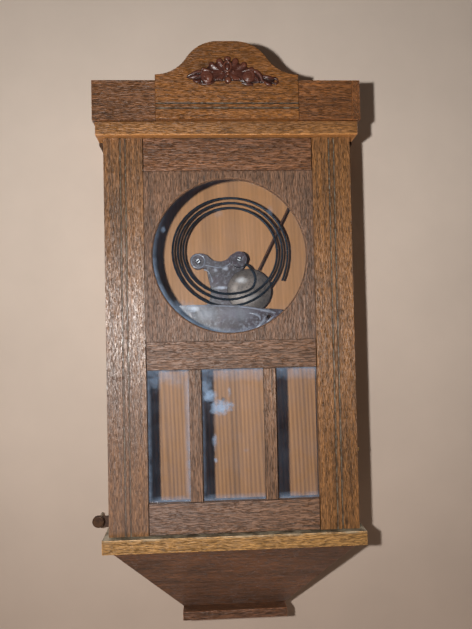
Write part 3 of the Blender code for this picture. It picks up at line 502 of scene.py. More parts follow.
def smoothing_group():
    """A node group that joins split vertices and shades smooth over edges below SMOOTH_ANGLE."""
    group = bpy.data.node_groups.new("smooth_by_angle", "GeometryNodeTree")
    group.interface.new_socket("Geometry", in_out="INPUT", socket_type="NodeSocketGeometry")
    group.interface.new_socket("Geometry", in_out="OUTPUT", socket_type="NodeSocketGeometry")
    start = group.nodes.new("NodeGroupInput")
    end = group.nodes.new("NodeGroupOutput")
    weld = group.nodes.new("GeometryNodeMergeByDistance")
    weld.inputs["Distance"].default_value = WELD_DISTANCE
    drop = group.nodes.new("GeometryNodeRemoveAttribute")
    drop.inputs["Name"].default_value = "custom_normal"
    faces = group.nodes.new("GeometryNodeSetShadeSmooth")
    faces.domain = "FACE"
    edges = group.nodes.new("GeometryNodeSetShadeSmooth")
    edges.domain = "EDGE"
    angle = group.nodes.new("GeometryNodeInputMeshEdgeAngle")
    sharp = group.nodes.new("FunctionNodeCompare")
    sharp.data_type = "FLOAT"
    sharp.operation = "GREATER_THAN"
    sharp.inputs[1].default_value = math.radians(SMOOTH_ANGLE)
    edges.inputs["Shade Smooth"].default_value = False
    join = group.links.new
    join(start.outputs[0], weld.inputs["Geometry"])
    join(weld.outputs["Geometry"], drop.inputs["Geometry"])
    join(drop.outputs["Geometry"], faces.inputs["Geometry"])
    join(faces.outputs["Geometry"], edges.inputs["Geometry"])
    join(angle.outputs["Unsigned Angle"], sharp.inputs[0])
    join(sharp.outputs[0], edges.inputs["Selection"])
    join(edges.outputs["Geometry"], end.inputs[0])
    return group


SMOOTH = smoothing_group()


def finish_node(name, material, bevel=0.0, worn=None):
    """Gives a CAD node its material and, with bevel, eased edges, whose material is worn."""
    obj = NODES[name]
    obj.data.materials.clear()
    obj.data.materials.append(material)
    smooth = obj.modifiers.new("smooth", "NODES")
    smooth.node_group = SMOOTH
    if bevel:
        flat = obj.modifiers.new("flat", "DECIMATE")
        flat.decimate_type = "DISSOLVE"
        flat.angle_limit = math.radians(DISSOLVE_ANGLE)
        ease = obj.modifiers.new("ease", "BEVEL")
        ease.width = bevel
        ease.use_clamp_overlap = True
        ease.segments = BEVEL_SEGMENTS
        ease.limit_method = "ANGLE"
        ease.angle_limit = math.radians(NODE_BEVEL_ANGLE)
        ease.harden_normals = True
        if worn:
            obj.data.materials.append(worn)
            ease.material = 1


def with_worn(name, *args, rubbed=1.0, **kwargs):
    """An oak material and its version for edges, with rubbed as that version's worn."""
    return oak(name, *args, **kwargs), oak(name + "_edge", *args, worn=rubbed, **kwargs)


# ------------------------------------------------------------- the case's oak

stile_left, stile_left_edge = with_worn(
    "oak_stile_left", "Z", TONE_STILE, 0.0, 0.33, rubbed=0.15, extra=stile_groove_shade, shine=1.0
)
stile_right, stile_right_edge = with_worn(
    "oak_stile_right", "Z", TONE_STILE_RIGHT, 3.7, 0.40, rubbed=0.15, extra=stile_groove_shade
)
rail_top, rail_edge = with_worn("oak_rail_top", "X", TONE_RAIL_TOP, 1.3, rubbed=0.1)
rail_low = oak("oak_rail_low", "X", TONE_RAIL, 5.1, 0.48, shine=0.75)
frieze, frieze_edge = with_worn("oak_frieze", "X", TONE_FRIEZE, 2.2, rubbed=0.6)
muntin, muntin_edge = with_worn("oak_muntin", "Z", TONE_MUNTIN, 17.3, rubbed=0.2)
frieze_left = oak("oak_frieze_left", "X", TONE_FRIEZE_LEFT, 18.4)
frieze_end, frieze_end_edge = with_worn("oak_return", "Y", TONE_FRIEZE, 6.2)
crest, crest_edge = with_worn("oak_crest", "X", TONE_CREST, 4.4, rubbed=0.3, extra=crest_lines)
strip, strip_edge = with_worn("oak_strip", "X", TONE_STRIP, 7.9, streaks=0.40, extra=strip_shadow_and_highlight)
strip_side, strip_side_edge = with_worn("oak_strip_side", "Y", TONE_STRIP, 1.9)
shelf, shelf_edge = with_worn("oak_shelf", "X", TONE_SHELF, 8.8, streaks=0.6, extra=shelf_top_shade_and_wear)
panel, panel_edge = with_worn("oak_panel", "Z", TONE_PANEL, 9.6, 0.54, rubbed=0.85, shine=0.75)
pendant, pendant_edge = with_worn("oak_pendant", "X", TONE_PENDANT, 11.2)
sides, sides_edge = with_worn("oak_side", "Z", TONE_SIDE, 12.5)
cove = oak("oak_cove", "Z", TONE_COVE, 13.1)
back = softwood("softwood_back")

OAK_NODES = [
    ("door_stile_left", stile_left, stile_left_edge, 0.7),
    ("door_stile_right", stile_right, stile_right_edge, 0.7),
    ("door_rail_top", rail_top, rail_edge, 0.5),
    ("door_rail_middle", rail_low, rail_edge, 0.5),
    ("door_rail_bottom", rail_low, rail_edge, 0.6),
    ("muntin_left", muntin, muntin_edge, 0.5),
    ("muntin_right", muntin, muntin_edge, 0.5),
    ("dial_panel", panel, panel_edge, 0.4),
    ("frieze_left", frieze_left, frieze_edge, 0.4),
    ("frieze_right", frieze, frieze_edge, 0.4),
    ("frieze_return_left", frieze_end, frieze_end_edge, 0.4),
    ("frieze_return_right", frieze_end, frieze_end_edge, 0.4),
    ("crest_board", crest, crest_edge, 0.8),
    ("cornice_top", frieze, frieze_edge, 0.6),
    ("strip_front", strip, strip_edge, 0.7),
    ("strip_left", strip_side, strip_side_edge, 0.7),
    ("strip_right", strip_side, strip_side_edge, 0.7),
    ("base_shelf", shelf, shelf_edge, 0.8),
    ("pendant_front", pendant, pendant_edge, 0.6),
    ("pendant_block", pendant, pendant_edge, 0.8),
    ("pendant_left", pendant, pendant_edge, 0.6),
    ("pendant_right", pendant, pendant_edge, 0.6),
    ("side_left", sides, sides_edge, 0.6),
    ("side_right", sides, sides_edge, 0.6),
    ("top_board", sides, sides_edge, 0.6),
    ("cove_left", cove, None, 0.3),
    ("cove_right", cove, None, 0.3),
    ("back_board", back, None, 0.5),
]
for node_name, main_finish, edge_finish, ease_mm in OAK_NODES:
    finish_node(node_name, main_finish, ease_mm * MM, edge_finish)
for bead in ("top", "bottom", "left", "right"):
    along = "X" if bead in ("top", "bottom") else "Z"
    bead_finish = oak(f"oak_bead_{bead}", along, TONE_COVE, 14.0)
    finish_node(f"dial_bead_{bead}", bead_finish, 0.3 * MM)
    finish_node(f"lower_bead_{bead}", bead_finish, 0.3 * MM)

# ------------------------------------------------------------------ the metals

brass = metal("brass", rgb(150, 118, 62), rgb(188, 156, 92), 0.85, 0.34, rgb(74, 58, 34))
brass_dark = metal("brass_dark", rgb(92, 80, 62), rgb(132, 116, 90), 0.7, 0.42, rgb(48, 40, 30))
# Painted highlights on the bob: centre, radii and strength.
BOB_HIGHLIGHTS = [
    ((0.0205, -0.030, -0.024), (0.010, 0.05, 0.006), 0.7),
    ((0.034, -0.030, -0.050), (0.016, 0.05, 0.008), 0.2),
]
bob_finish = metal(
    "bob_brass", rgb(84, 74, 68), rgb(118, 106, 98), 0.3, 0.40, rgb(50, 42, 40), 160, painted_highlights=BOB_HIGHLIGHTS
)
steel = metal("screw_steel", rgb(128, 130, 136), rgb(190, 192, 198), 0.85, 0.36, rgb(60, 54, 50), 500)
gong_steel = metal("gong_steel", rgb(24, 28, 36), rgb(60, 76, 92), 0.7, 0.27, rgb(34, 26, 24), 260)
iron = cast_iron("cast_iron")
# A lighter, glossier copy of the iron, as a painted highlight on the raised rims.
iron_rim_highlight = cast_iron("cast_iron_rim_highlight", 0.6, 0.2)
rod_finish = metal("rod_brass", rgb(74, 46, 32), rgb(110, 72, 48), 0.4, 0.40, rgb(40, 26, 20), 200)
plate_finish = metal("plate_brass", rgb(120, 104, 66), rgb(150, 132, 86), 0.6, 0.45, rgb(70, 66, 50), 260)
bracket_finish = metal("bracket_steel", rgb(58, 38, 28), rgb(88, 60, 42), 0.3, 0.5, rgb(34, 24, 18), 260)
knob_finish = metal("knob_brass", rgb(70, 48, 36), rgb(110, 80, 58), 0.6, 0.35, rgb(36, 26, 20), 400)

for node_name, finish, ease_mm in [
    ("gong_casting", iron, 1.8),
    ("gong_hub", iron, 0.5),
    ("gong_coil", gong_steel, 0),
    ("casting_screw", steel, 0.2),
    ("hub_screw", steel, 0.2),
    ("pendulum_bob", bob_finish, 0.6),
    ("pendulum_rod", rod_finish, 0.2),
    ("hanging_plate", plate_finish, 0.3),
    ("latch_hook", brass, 0.2),
    ("latch_hook_screw", steel, 0.2),
    ("latch_pin", brass, 0.2),
    ("leveller_bracket", bracket_finish, 0.2),
    ("leveller_knob", knob_finish, 0.4),
    ("leveller_screw", brass_dark, 0),
]:
    finish_node(node_name, finish, ease_mm * MM)
for level in ("upper", "lower"):
    for piece in ("case_leaf", "door_leaf", "pin"):
        finish_node(f"hinge_{level}_{piece}", brass, 0.15 * MM)

dial_glass = pane(
    "dial_glass_old",
    [
        ((-0.062, GLASS_Y, -0.068), (0.026, 1, 0.014), 0.20),
        ((-0.085, GLASS_Y, 0.036), (0.004, 1, 0.006), 0.30),
        ((0.054, GLASS_Y, 0.058), (0.005, 1, 0.009), 0.16),
        ((-0.014, GLASS_Y, 0.056), (0.009, 1, 0.008), 0.12),
    ],
    round_edge,
    0.03,
)
lower_glass = pane(
    "lower_glass_old",
    [
        ((-0.034, GLASS_Y, -0.168), (0.011, 1, 0.020), 0.45),
        ((-0.029, GLASS_Y, -0.179), (0.011, 1, 0.010), 0.80),
        ((-0.015, GLASS_Y, -0.195), (0.017, 1, 0.011), 1.0),
        ((-0.004, GLASS_Y, -0.176), (0.003, 1, 0.009), 0.35),
        ((-0.100, GLASS_Y, -0.156), (0.014, 1, 0.020), 0.30),
        ((-0.073, GLASS_Y, -0.158), (0.016, 1, 0.016), 0.22),
        ((-0.024, GLASS_Y, -0.238), (0.004, 1, 0.014), 0.40),
        ((-0.023, GLASS_Y, -0.262), (0.003, 1, 0.004), 0.60),
        ((0.016, GLASS_Y, -0.250), (0.006, 1, 0.004), 0.16),
    ],
    light_edge,
    0.055,
)
finish_node("dial_glass", dial_glass)
finish_node("lower_glass", lower_glass)

# ------------------------------------------------------- rod and screw heads


def new_piece(name, shape, material, body, replaced=()):
    """Turns a bmesh into a piece that rides on a body and takes its finish from a slot."""
    bmesh.ops.recalc_face_normals(shape, faces=shape.faces)
    mesh = bpy.data.meshes.new(name)
    shape.to_mesh(mesh)
    shape.free()
    mesh.materials.append(material)
    obj = bpy.data.objects.new(name, mesh)
    bpy.context.scene.collection.objects.link(obj)
    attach(obj, body)
    for node in replaced:
        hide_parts(node)
    return obj


def smooth_piece(obj, bevel=0.0):
    modifier = obj.modifiers.new("smooth", "NODES")
    modifier.node_group = SMOOTH
    if bevel:
        ease = obj.modifiers.new("ease", "BEVEL")
        ease.width = bevel
        ease.segments = BEVEL_SEGMENTS
        ease.limit_method = "ANGLE"
        ease.angle_limit = math.radians(PIECE_BEVEL_ANGLE)
        ease.harden_normals = True


def lathe(shape, profile, centre):
    """Turns a profile of (radius, along) in metres about a Y axis through centre.

    along runs towards -Y, the room."""
    spin = Matrix(((1, 0, 0), (0, 0, -1), (0, 1, 0)))
    rings = []
    for radius, along in profile:
        ring = []
        for step in range(LATHE_STEPS):
            turn = math.tau * step / LATHE_STEPS
            point = Vector((radius * math.cos(turn), radius * math.sin(turn), along))
            ring.append(shape.verts.new(centre + spin @ point))
        rings.append(ring)
    for first, second in zip(rings, rings[1:]):
        for step in range(LATHE_STEPS):
            after = (step + 1) % LATHE_STEPS
            shape.faces.new((first[step], first[after], second[after], second[step]))
    shape.faces.new(reversed(rings[0]))
    shape.faces.new(rings[-1])


def slotted_head(name, centre, radius, height, turn, replaced):
    """A domed screw head, facing the room, made as two halves with the floor of a slot between them."""
    outward = Vector((0, -1, 0))
    spin = Matrix.Rotation(math.radians(turn), 3, outward)
    across, upward = spin @ Vector((1, 0, 0)), spin @ Vector((0, 0, 1))
    half_slot = radius * 0.15
    shape = bmesh.new()
    levels = [(1.0, 0.0), (1.0, height * 0.55), (0.90, height * 0.85), (0.62, height)]
    for sign in (-1, 1):
        rings = []
        for share, along in levels:
            reach = radius * share
            edge = math.asin(min(half_slot / reach, 1.0))
            ring = []
            for step in range(19):
                angle = edge + (math.pi - 2 * edge) * step / 18
                point = across * (math.cos(angle) * reach) + upward * (math.sin(angle) * reach * sign)
                ring.append(shape.verts.new(centre + point + outward * along))
            rings.append(ring)
        for first, second in zip(rings, rings[1:]):
            for step in range(19):
                after = (step + 1) % 19
                shape.faces.new((first[step], first[after], second[after], second[step]))
        shape.faces.new(rings[0])
        shape.faces.new(rings[-1])
    floor = []
    for along in (0.0, height * 0.35):
        for x, z in ((-0.985, -1), (0.985, -1), (0.985, 1), (-0.985, 1)):
            point = across * (x * radius) + upward * (z * half_slot * 1.02)
            floor.append(shape.verts.new(centre + point + outward * along))
    for corners in ((0, 1, 2, 3), (4, 5, 6, 7), (0, 1, 5, 4), (1, 2, 6, 5), (2, 3, 7, 6), (3, 0, 4, 7)):
        shape.faces.new([floor[k] for k in corners])
    obj = new_piece(name, shape, steel, "root", (replaced,))
    smooth_piece(obj, radius * 0.05)
    return obj


# A washer's section as (radius, height), in metres.
WASHER = [(0.0058, 0.0), (0.0074, 0.0), (0.0074, 0.0006), (0.0069, 0.0011), (0.0058, 0.0011)]
# The gong's two screws as (CAD node, head radius in metres, turn of the slot in degrees).
SCREWS = [("casting_screw", 0.0052, 38), ("hub_screw", 0.0046, -20)]


def build_screw_heads():
    """A slotted head and a washer in place of each plain screw."""
    for node, radius, slot_turn in SCREWS:
        low, high = (Vector(corner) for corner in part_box(node))
        place = Vector(((low.x + high.x) / 2, high.y, (low.z + high.z) / 2))
        slotted_head(node + "_head", place, radius, high.y - low.y, slot_turn, node)
        shape = bmesh.new()
        lathe(shape, WASHER, place)
        smooth_piece(new_piece(node + "_washer", shape, brass_dark, "root"))


# Raised edges of the gong's standard as (x, z), in metres.
STANDARD_EDGES = [
    [(-0.0326, -0.0075), (-0.0290, -0.0085), (-0.0256, -0.0120), (-0.0228, -0.0180), (-0.0208, -0.0260)],
    [(-0.0300, -0.0010), (-0.0215, -0.0030), (-0.0120, -0.0048), (-0.0030, -0.0040), (0.0050, 0.0010)],
]
BOSS = Vector((-0.041, IRON_FACE, 0.0048))


def build_casting_rim():
    """Raised beads on the gong's standard, and raised lines and leaf ends on its apron, in a lighter copy of
    the iron that paints highlights on them.
    """
    shape = bmesh.new()
    for line in STANDARD_EDGES:
        rows = eased_path([(x, z, 0, BEAD_HALF) for x, z in line], 6)
        path = [Vector((row[0], IRON_FACE, row[1])) for row in rows]
        sweep(shape, path, [row[3] for row in rows])
    turns = [math.tau * step / 40 for step in range(41)]
    path = [BOSS + Vector((math.cos(turn), 0, math.sin(turn))) * BOSS_RING for turn in turns]
    sweep(shape, path, [BOSS_RING_HALF] * len(path))
    for line in APRON_LINES:
        rows = eased_path(line, 6)
        path = [Vector((row[0] * MM, APRON_FACE + 0.0004, row[1] * MM)) for row in rows]
        sweep(shape, path, [row[3] * MM for row in rows])
    smooth_piece(new_piece("gong_casting_rim", shape, iron_rim_highlight, "root"))


def build_rod():
    """The pendulum's thin rod, which leans where it came to rest."""
    low, high = (Vector(corner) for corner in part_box("pendulum_rod"))
    depth = (low.y + high.y) / 2
    foot = Vector((low.x + 0.0022, depth, low.z + 0.0016))
    head = Vector((high.x - 0.0022, depth, high.z - 0.0016))
    path = [foot.lerp(head, step / ROD_STEPS) for step in range(ROD_STEPS + 1)]
    shape = bmesh.new()
    sweep(shape, path, [ROD_HALF] * len(path))
    rod = new_piece("pendulum_rod_thin", shape, rod_finish, "root", ("pendulum_rod",))
    smooth_piece(rod)


# ---------------------------------------------------------------- the carving

# Raised lines and curled leaf ends on the apron, as (x, z, lift, half width) in millimetres.
APRON_LINES = [
    [
        (-58, -60.4, 0, 0.8),
        (-39, -60.6, 0, 1.0),
        (-8, -61.2, 0, 1.1),
        (24, -63.6, 0, 1.1),
        (47, -67.4, 0, 1.4),
    ],
    [(46, -67.6, 0, 1.2), (54, -69.0, 0, 2.0), (61, -70.6, 0, 1.8), (67, -72.4, 0, 0.8)],
    [(39, -93.0, 0, 0.8), (44, -89.0, 0, 1.9), (49.5, -83.5, 0, 2.2), (52, -78.0, 0, 1.2)],
    [(55, -84.5, 0, 0.8), (60, -80.8, 0, 1.6), (64, -77.2, 0, 0.8)],
    [(30, -72.0, 0, 0.8), (38, -73.5, 0, 1.8), (44, -77.0, 0, 1.6), (45, -82.0, 0, 0.8)],
]


def ring_points(centre, side, out, wide, deep):
    """A ring of points round centre, wide in the board's plane and deep off the board."""
    points = []
    for step in range(BAR_SIDES):
        turn = math.tau * step / BAR_SIDES
        points.append(centre + side * (math.cos(turn) * wide) + out * (math.sin(turn) * deep))
    return points


def sweep(shape, path, widths, depth_share=0.8):
    """A closed round bar along path, in metres, with its own half width at each point."""
    out = Vector((0, -1, 0))
    rings = []
    for index, (point, width) in enumerate(zip(path, widths)):
        before = path[max(index - 1, 0)]
        after = path[min(index + 1, len(path) - 1)]
        along = (after - before).normalized()
        side = along.cross(out).normalized()
        corners = ring_points(point, side, out, width, width * depth_share)
        rings.append([shape.verts.new(corner) for corner in corners])
    for first, second in zip(rings, rings[1:]):
        for step in range(BAR_SIDES):
            after = (step + 1) % BAR_SIDES
            shape.faces.new((first[step], first[after], second[after], second[step]))
    shape.faces.new(reversed(rings[0]))
    shape.faces.new(rings[-1])


def on_crest(x, z, lift=0.0):
    """A point in millimetres on the crest board's face, lifted off it."""
    return Vector((x * MM, CREST_Y - lift * MM, z * MM))


def eased_path(points, steps):
    """Points along a smooth Catmull-Rom curve through points of (x, z, lift, width) in millimetres."""
    rows = [points[0], *points, points[-1]]
    path = []
    for index in range(1, len(rows) - 2):
        for step in range(steps):
            t = step / steps
            near = rows[index - 1 : index + 3]
            path.append(tuple(curve_value([row[k] for row in near], t) for k in range(4)))
    path.append(points[-1])
    return path


def curve_value(values, t):
    """A Catmull-Rom curve's value at t from the second of four values to the third."""
    a, b, c, d = values
    return 0.5 * (2 * b + (c - a) * t + (2 * a - 5 * b + 4 * c - d) * t * t + (3 * b - a - 3 * c + d) * t**3)


def leaf(shape, points, steps=6, depth_share=0.8):
    """A rounded leaf or stem on the crest along points of (x, z, lift, half width), in millimetres."""
    rows = eased_path(points, steps)
    widths = [max(row[3], 0.15) * MM for row in rows]
    sweep(shape, [on_crest(*row[:3]) for row in rows], widths, depth_share)


def volute(shape, centre, start_turn, turns, outer, inner, widths, hand):
    """A scroll that winds in to its eye. hand is 1 for anticlockwise and -1 for clockwise."""
    rows = []
    count = int(26 * turns)
    for step in range(count + 1):
        t = step / count
        turn = math.radians(start_turn) + hand * math.tau * turns * t
        reach = outer + (inner - outer) * t**0.85
        width = widths[0] + (widths[1] - widths[0]) * t
        x, z = centre[0] + reach * math.cos(turn), centre[1] + reach * math.sin(turn)
        rows.append((x, z, 1.6 + 0.7 * t, width))
    sweep(shape, [on_crest(*row[:3]) for row in rows], [row[3] * MM for row in rows])
    dome(shape, centre, 1.9, (2.2, 2.2), 2.9)


def dome(shape, centre, lift, radii, deep):
    """A low rounded boss of half depth deep, with radii in the board's plane, in millimetres."""
    made = bmesh.ops.create_uvsphere(shape, u_segments=20, v_segments=12, radius=1)["verts"]
    size = Matrix.Diagonal((radii[0] * MM, deep * MM, radii[1] * MM, 1))
    bmesh.ops.transform(shape, matrix=Matrix.Translation(on_crest(*centre, lift)) @ size, verts=made)


def build_carving():
    """The glued-on carving: a shell of lobes over a cartouche, a scroll at each side and leafy tips."""
    shape = bmesh.new()
    ground = [(-42, 221, 0.8, 3.6), (-29, 223, 0.9, 8.0), (-14, 228, 0.9, 11.5), (1, 230, 0.9, 13.0)]
    ground += [(16, 228, 0.9, 11.5), (31, 222.5, 0.9, 8.4), (45, 219, 0.8, 5.2), (60, 217, 0.7, 4.0)]
    leaf(shape, ground, 5, 0.14)
    volute(shape, (-24.5, 222.6), 70, 1.35, 7.4, 3.4, (2.9, 2.2), 1)
    dome(shape, (-23.6, 221.8), 1.4, (4.3, 4.3), 4.1)
    volute(shape, (26.8, 223.2), 110, 1.30, 7.6, 3.6, (3.0, 2.2), -1)
    dome(shape, (27.0, 222.0), 1.4, (5.2, 5.2), 4.3)
    for base, tip, width in LOBES:
        middle = ((base[0] + tip[0]) / 2, (base[1] + tip[1]) / 2)
        lobe = [(*base, 0.8, width * 0.5), (*middle, 1.3, width * 0.8), (*tip, 1.6, width * 0.92)]
        leaf(shape, lobe, 6, 0.62)
        dome(shape, tip, 1.2, (width, width), 3.2)
        hollow = (tip[0] * 0.8 + middle[0] * 0.2, tip[1] * 0.8 + middle[1] * 0.2)
        rib = [(*base, 2.2, 0.5), (*middle, 3.3, 0.8), (*hollow, 4.2, 0.9)]
        leaf(shape, rib, 4, 0.9)
    dome(shape, (1.0, 245.2), 1.4, (4.5, 3.3), 3.9)
    rim = []
    for step in range(25):
        turn = math.tau * step / 24
        rim.append((0.8 + 4.6 * math.cos(turn), 235.0 + 6.0 * math.sin(turn), 3.2, 1.25))
    sweep(shape, [on_crest(*row[:3]) for row in rim], [row[3] * MM for row in rim], 1.2)
    dome(shape, (0.8, 235.0), 1.6, (3.2, 4.6), 2.2)
    for place, size in BEADS:
        dome(shape, place, 2.0, (size, size), size * 1.35)
    for points in LEAVES:
        leaf(shape, points)
    for sign in (-1, 1):
        for step in range(4):
            near = (1 + sign * (4.5 + 2.1 * step), 224.5 - 0.6 * step)
            far = (near[0] + sign * 4.4, near[1] - 6.4 + 0.9 * step)
            leaf(shape, [(*near, 2.0, 0.9), (*far, 1.8, 1.5)], 4, 1.1)
    # The highest bosses are pressed down so that they stay within the CAD model's box.
    for vert in shape.verts:
        lift = CREST_Y - vert.co.y
        if lift > CARVING_KNEE:
            vert.co.y = CREST_Y - CARVING_KNEE - (lift - CARVING_KNEE) * CARVING_SQUASH
    mesh = bpy.data.meshes.new("crest_carving_detail")
    bmesh.ops.recalc_face_normals(shape, faces=shape.faces)
    shape.to_mesh(mesh)
    shape.free()
    obj = bpy.data.objects.new("crest_carving_detail", mesh)
    bpy.context.scene.collection.objects.link(obj)
    fuse = obj.modifiers.new("fuse", "REMESH")
    fuse.mode = "VOXEL"
    fuse.voxel_size = CARVING_VOXEL
    fuse.use_smooth_shade = True
    soften = obj.modifiers.new("soften", "SMOOTH")
    soften.iterations = 2
    mesh.materials.append(carved_oak())
    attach(obj, "root")
    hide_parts("crest_carving")


def carved_oak():
    """The carving's dark red-brown finish, with painted shade in its hollows and crevices, and rubbed on its
    tops.
    """
    tree = Tree("carved_oak")
    place = tree.place()
    streak = tree.noise(tree.stretch(place, stretched("X", 0.2)), 700, 3, 0.6)
    broad = tree.noise(place, 90, 3, 0.6)
    colour = tree.mix(tree.span(broad, 0.3, 0.7), rgb(70, 38, 33), rgb(106, 60, 46))
    colour = tree.mix(tree.span(streak, 0.5, 0.7, 0, 0.5), colour, rgb(58, 34, 26))
    depth = tree.axes(place)[1]
    tops = tree.span(depth, CREST_Y - 0.0034, CREST_Y - 0.0054)
    colour = tree.mix(tree.math("MULTIPLY", tops, 0.30), colour, rgb(146, 92, 66))
    # Painted shade: the low parts near the board go near black, and the occlusion node darkens the crevices.
    hollow_shade = tree.span(depth, CREST_Y - 0.0031, CREST_Y - 0.0012)
    colour = tree.mix(tree.math("MULTIPLY", hollow_shade, 0.8), colour, rgb(26, 15, 12))
    crevice_shade = tree.add("ShaderNodeAmbientOcclusion", {"Distance": 0.0035}, samples=8).outputs["AO"]
    colour = tree.mix(tree.span(crevice_shade, 0.45, 0.85, 0.9, 0.0), colour, rgb(16, 9, 8))
    roughness = tree.span(streak, 0.3, 0.7, 0.34, 0.22)
    tree.shader(colour, roughness, tree.bump(streak, 0.0003, 0.5))
    return tree.material


# Shell lobes as (foot, tip, half width), in millimetres on the crest's face.
LOBES = [
    ((-16.5, 228.5), (-28.0, 231.2), 3.3),
    ((-9.5, 231.0), (-18.8, 237.4), 4.2),
    ((-4.6, 234.0), (-9.0, 242.0), 4.4),
    ((6.6, 234.5), (11.0, 242.2), 4.4),
    ((12.5, 231.5), (21.6, 237.6), 4.2),
    ((19.0, 229.0), (31.0, 231.8), 3.4),
]
BEADS = [
    ((-6.4, 228.2), 2.0),
    ((8.2, 229.0), 2.0),
    ((1.1, 225.6), 2.6),
    ((1.1, 217.9), 4.2),
    ((-31.0, 232.2), 1.6),
    ((33.0, 231.0), 1.7),
]
# Leaves and stems as points of (x, z, lift, half width), in millimetres.
LEAVES = [
    [(-29, 229, 1.5, 1.2), (-36, 229, 1.6, 2.2), (-43, 226.5, 1.3, 2.0), (-50, 223.4, 0.9, 1.0)],
    [(-33, 224, 1.4, 1.4), (-39, 223, 1.6, 2.2), (-45, 221.5, 1.2, 1.8), (-51, 222.0, 0.8, 0.7)],
    [(-33, 218, 1.4, 1.6), (-38, 216.4, 1.5, 2.1), (-42, 218.4, 1.2, 1.5), (-40, 220.6, 1.0, 0.9)],
    [(-16, 216.5, 1.2, 1.2), (-22, 213.8, 1.2, 1.7), (-30, 213.4, 1.2, 1.7), (-36, 214.6, 0.9, 1.0)],
    [(30, 230.5, 1.4, 1.5), (37, 229, 1.7, 2.6), (42.4, 223.5, 1.6, 2.8), (44.5, 216.5, 1.2, 1.8)],
    [(34, 224, 1.3, 1.3), (38, 220, 1.5, 2.0), (40, 214.8, 1.2, 1.6)],
    [(44, 224, 1.3, 1.4), (50, 222.5, 1.6, 2.3), (56, 221.2, 1.4, 2.0), (61.6, 221.4, 1.0, 1.5)],
    [(46, 217, 1.2, 1.3), (51, 213.4, 1.6, 2.2), (56.5, 212.4, 1.3, 1.6)],
    [(61, 221, 1.3, 1.5), (64.2, 217.2, 1.4, 1.3), (61.5, 213.2, 1.4, 1.4), (58.6, 216.4, 1.4, 1.2)],
    [(18, 214.8, 1.2, 1.2), (25, 213.2, 1.3, 1.8), (33, 212.8, 1.2, 1.5)],
]
build_carving()
build_rod()
build_screw_heads()
build_casting_rim()


# ------------------------------------------------------- wall, lights, camera


def build_wall():
    """A pale wall close behind the clock, which turns forward into a pale floor."""
    mesh = bpy.data.meshes.new("wall")
    wall = bpy.data.objects.new("wall", mesh)
    bpy.context.scene.collection.objects.link(wall)
    profile = [(WALL_Y, WALL_TOP), (WALL_Y, WALL_FOOT)]
    for step in range(1, WALL_CURVE_STEPS + 1):
        turn = math.radians(90 * step / WALL_CURVE_STEPS)
        y = WALL_Y - WALL_CURVE + WALL_CURVE * math.cos(turn)
        profile.append((y, WALL_FOOT - WALL_CURVE * math.sin(turn)))
    profile.append((FLOOR_FRONT, WALL_FOOT - WALL_CURVE))
    shape = bmesh.new()
    left = [shape.verts.new((-WALL_HALF_WIDTH, y, z)) for y, z in profile]
    right = [shape.verts.new((WALL_HALF_WIDTH, y, z)) for y, z in profile]
    for index in range(len(profile) - 1):
        shape.faces.new((left[index], left[index + 1], right[index + 1], right[index]))
    shape.normal_update()
    for face in shape.faces:
        face.smooth = True
    shape.to_mesh(mesh)
    shape.free()
    tree = Tree("wall_paint")
    place = tree.place()
    height = tree.axes(place)[2]
    base = tree.mix(tree.span(height, -0.5, 0.2), rgb(188, 170, 156), rgb(228, 212, 198))
    mottle = tree.span(tree.noise(place, 6, 4, 0.6), 0.3, 0.7, 0.96, 1.04)
    base = tree.mix(1.0, base, mottle, "MULTIPLY")
    paint = tree.add("ShaderNodeBsdfDiffuse", {"Color": base}).outputs[0]
    clear = tree.add("ShaderNodeBsdfTransparent").outputs[0]
    # Clear from behind and to lamp rays, so that lamps behind it light the case's back and sides.
    behind = tree.add("ShaderNodeNewGeometry").outputs["Backfacing"]
    shadow = tree.add("ShaderNodeLightPath").outputs["Is Shadow Ray"]
    hidden = tree.math("MAXIMUM", behind, shadow)
    surface = tree.add("ShaderNodeMixShader", {0: hidden, 1: paint, 2: clear}).outputs[0]
    tree.links.new(surface, tree.output.inputs["Surface"])
    mesh.materials.append(tree.material)


def area_light(name, place, target, size, power, colour=(1, 1, 1)):
    data = bpy.data.lights.new(name, "AREA")
    data.shape = "DISK"
    data.size = size
    data.energy = power
    data.color = colour
    obj = bpy.data.objects.new(name, data)
    bpy.context.scene.collection.objects.link(obj)
    obj.location = place
    obj.rotation_euler = (Vector(target) - Vector(place)).to_track_quat("-Z", "Y").to_euler()


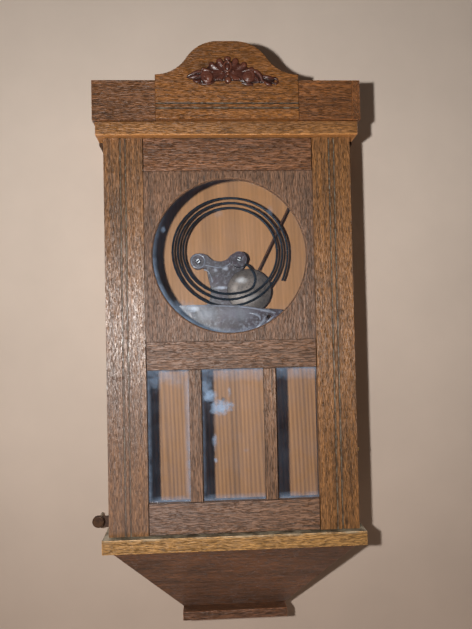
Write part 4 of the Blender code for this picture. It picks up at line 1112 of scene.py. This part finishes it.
# Lamps other than the key as (name, place, target, size in metres, power in watts).
LAMPS = [
    ("soft", (-0.7, -1.5, 1.1), (0, 0, -0.1), 1.2, 0.7),
    ("rear", (-0.6, 1.6, 0.9), (0, 0, -0.1), 1.4, 7.0),
    ("side_right", (1.5, 0.55, 0.3), (0, 0, -0.1), 0.8, 9.0),
    ("side_left", (-1.5, 0.55, 0.3), (0, 0, -0.1), 0.8, 9.0),
    ("above", (0.2, 0.5, 1.5), (0, 0, 0), 0.8, 5.0),
]


def build_lights():
    """The small key lamp near the camera, as the photo's flash, with weak lamps and a faint fill."""
    area_light("key", LAMP_PLACE, (0, 0, -0.10), LAMP_SIZE, LAMP_POWER, (1.0, 0.985, 0.96))
    for lamp in LAMPS:
        area_light(*lamp)
    world = bpy.data.worlds.new("studio")
    bpy.context.scene.world = world
    world.use_nodes = True
    nodes = world.node_tree.nodes
    links = world.node_tree.links
    nodes.clear()
    out = nodes.new("ShaderNodeOutputWorld")
    seen = nodes.new("ShaderNodeBackground")
    seen.inputs["Color"].default_value = SURROUND_COLOUR
    felt = nodes.new("ShaderNodeBackground")
    felt.inputs["Color"].default_value = FILL_COLOUR
    felt.inputs["Strength"].default_value = FILL_STRENGTH
    path = nodes.new("ShaderNodeLightPath")
    pick = nodes.new("ShaderNodeMixShader")
    links.new(path.outputs["Is Camera Ray"], pick.inputs[0])
    links.new(felt.outputs[0], pick.inputs[1])
    links.new(seen.outputs[0], pick.inputs[2])
    links.new(pick.outputs[0], out.inputs["Surface"])


def build_camera():
    data = bpy.data.cameras.new("camera")
    data.sensor_fit = "AUTO"
    data.sensor_width = SENSOR
    data.lens = SENSOR * CAMERA_FOCAL
    data.clip_start = 0.02
    obj = bpy.data.objects.new("camera", data)
    bpy.context.scene.collection.objects.link(obj)
    turn = Matrix.Rotation(CAMERA_YAW, 3, "Z") @ Matrix.Rotation(CAMERA_PITCH, 3, "X")
    c, s = math.cos(CAMERA_ROLL), math.sin(CAMERA_ROLL)
    roll = Matrix(((c, 0, s), (0, 1, 0), (-s, 0, c)))
    level = Matrix(((1, 0, 0), (0, 0, -1), (0, 1, 0)))
    obj.matrix_world = Matrix.Translation(CAMERA_PLACE) @ (turn @ roll @ level).to_4x4()
    bpy.context.scene.camera = obj


build_wall()
build_lights()
build_camera()
bpy.context.scene.view_settings.view_transform = "Standard"
bpy.context.scene.view_settings.look = "None"
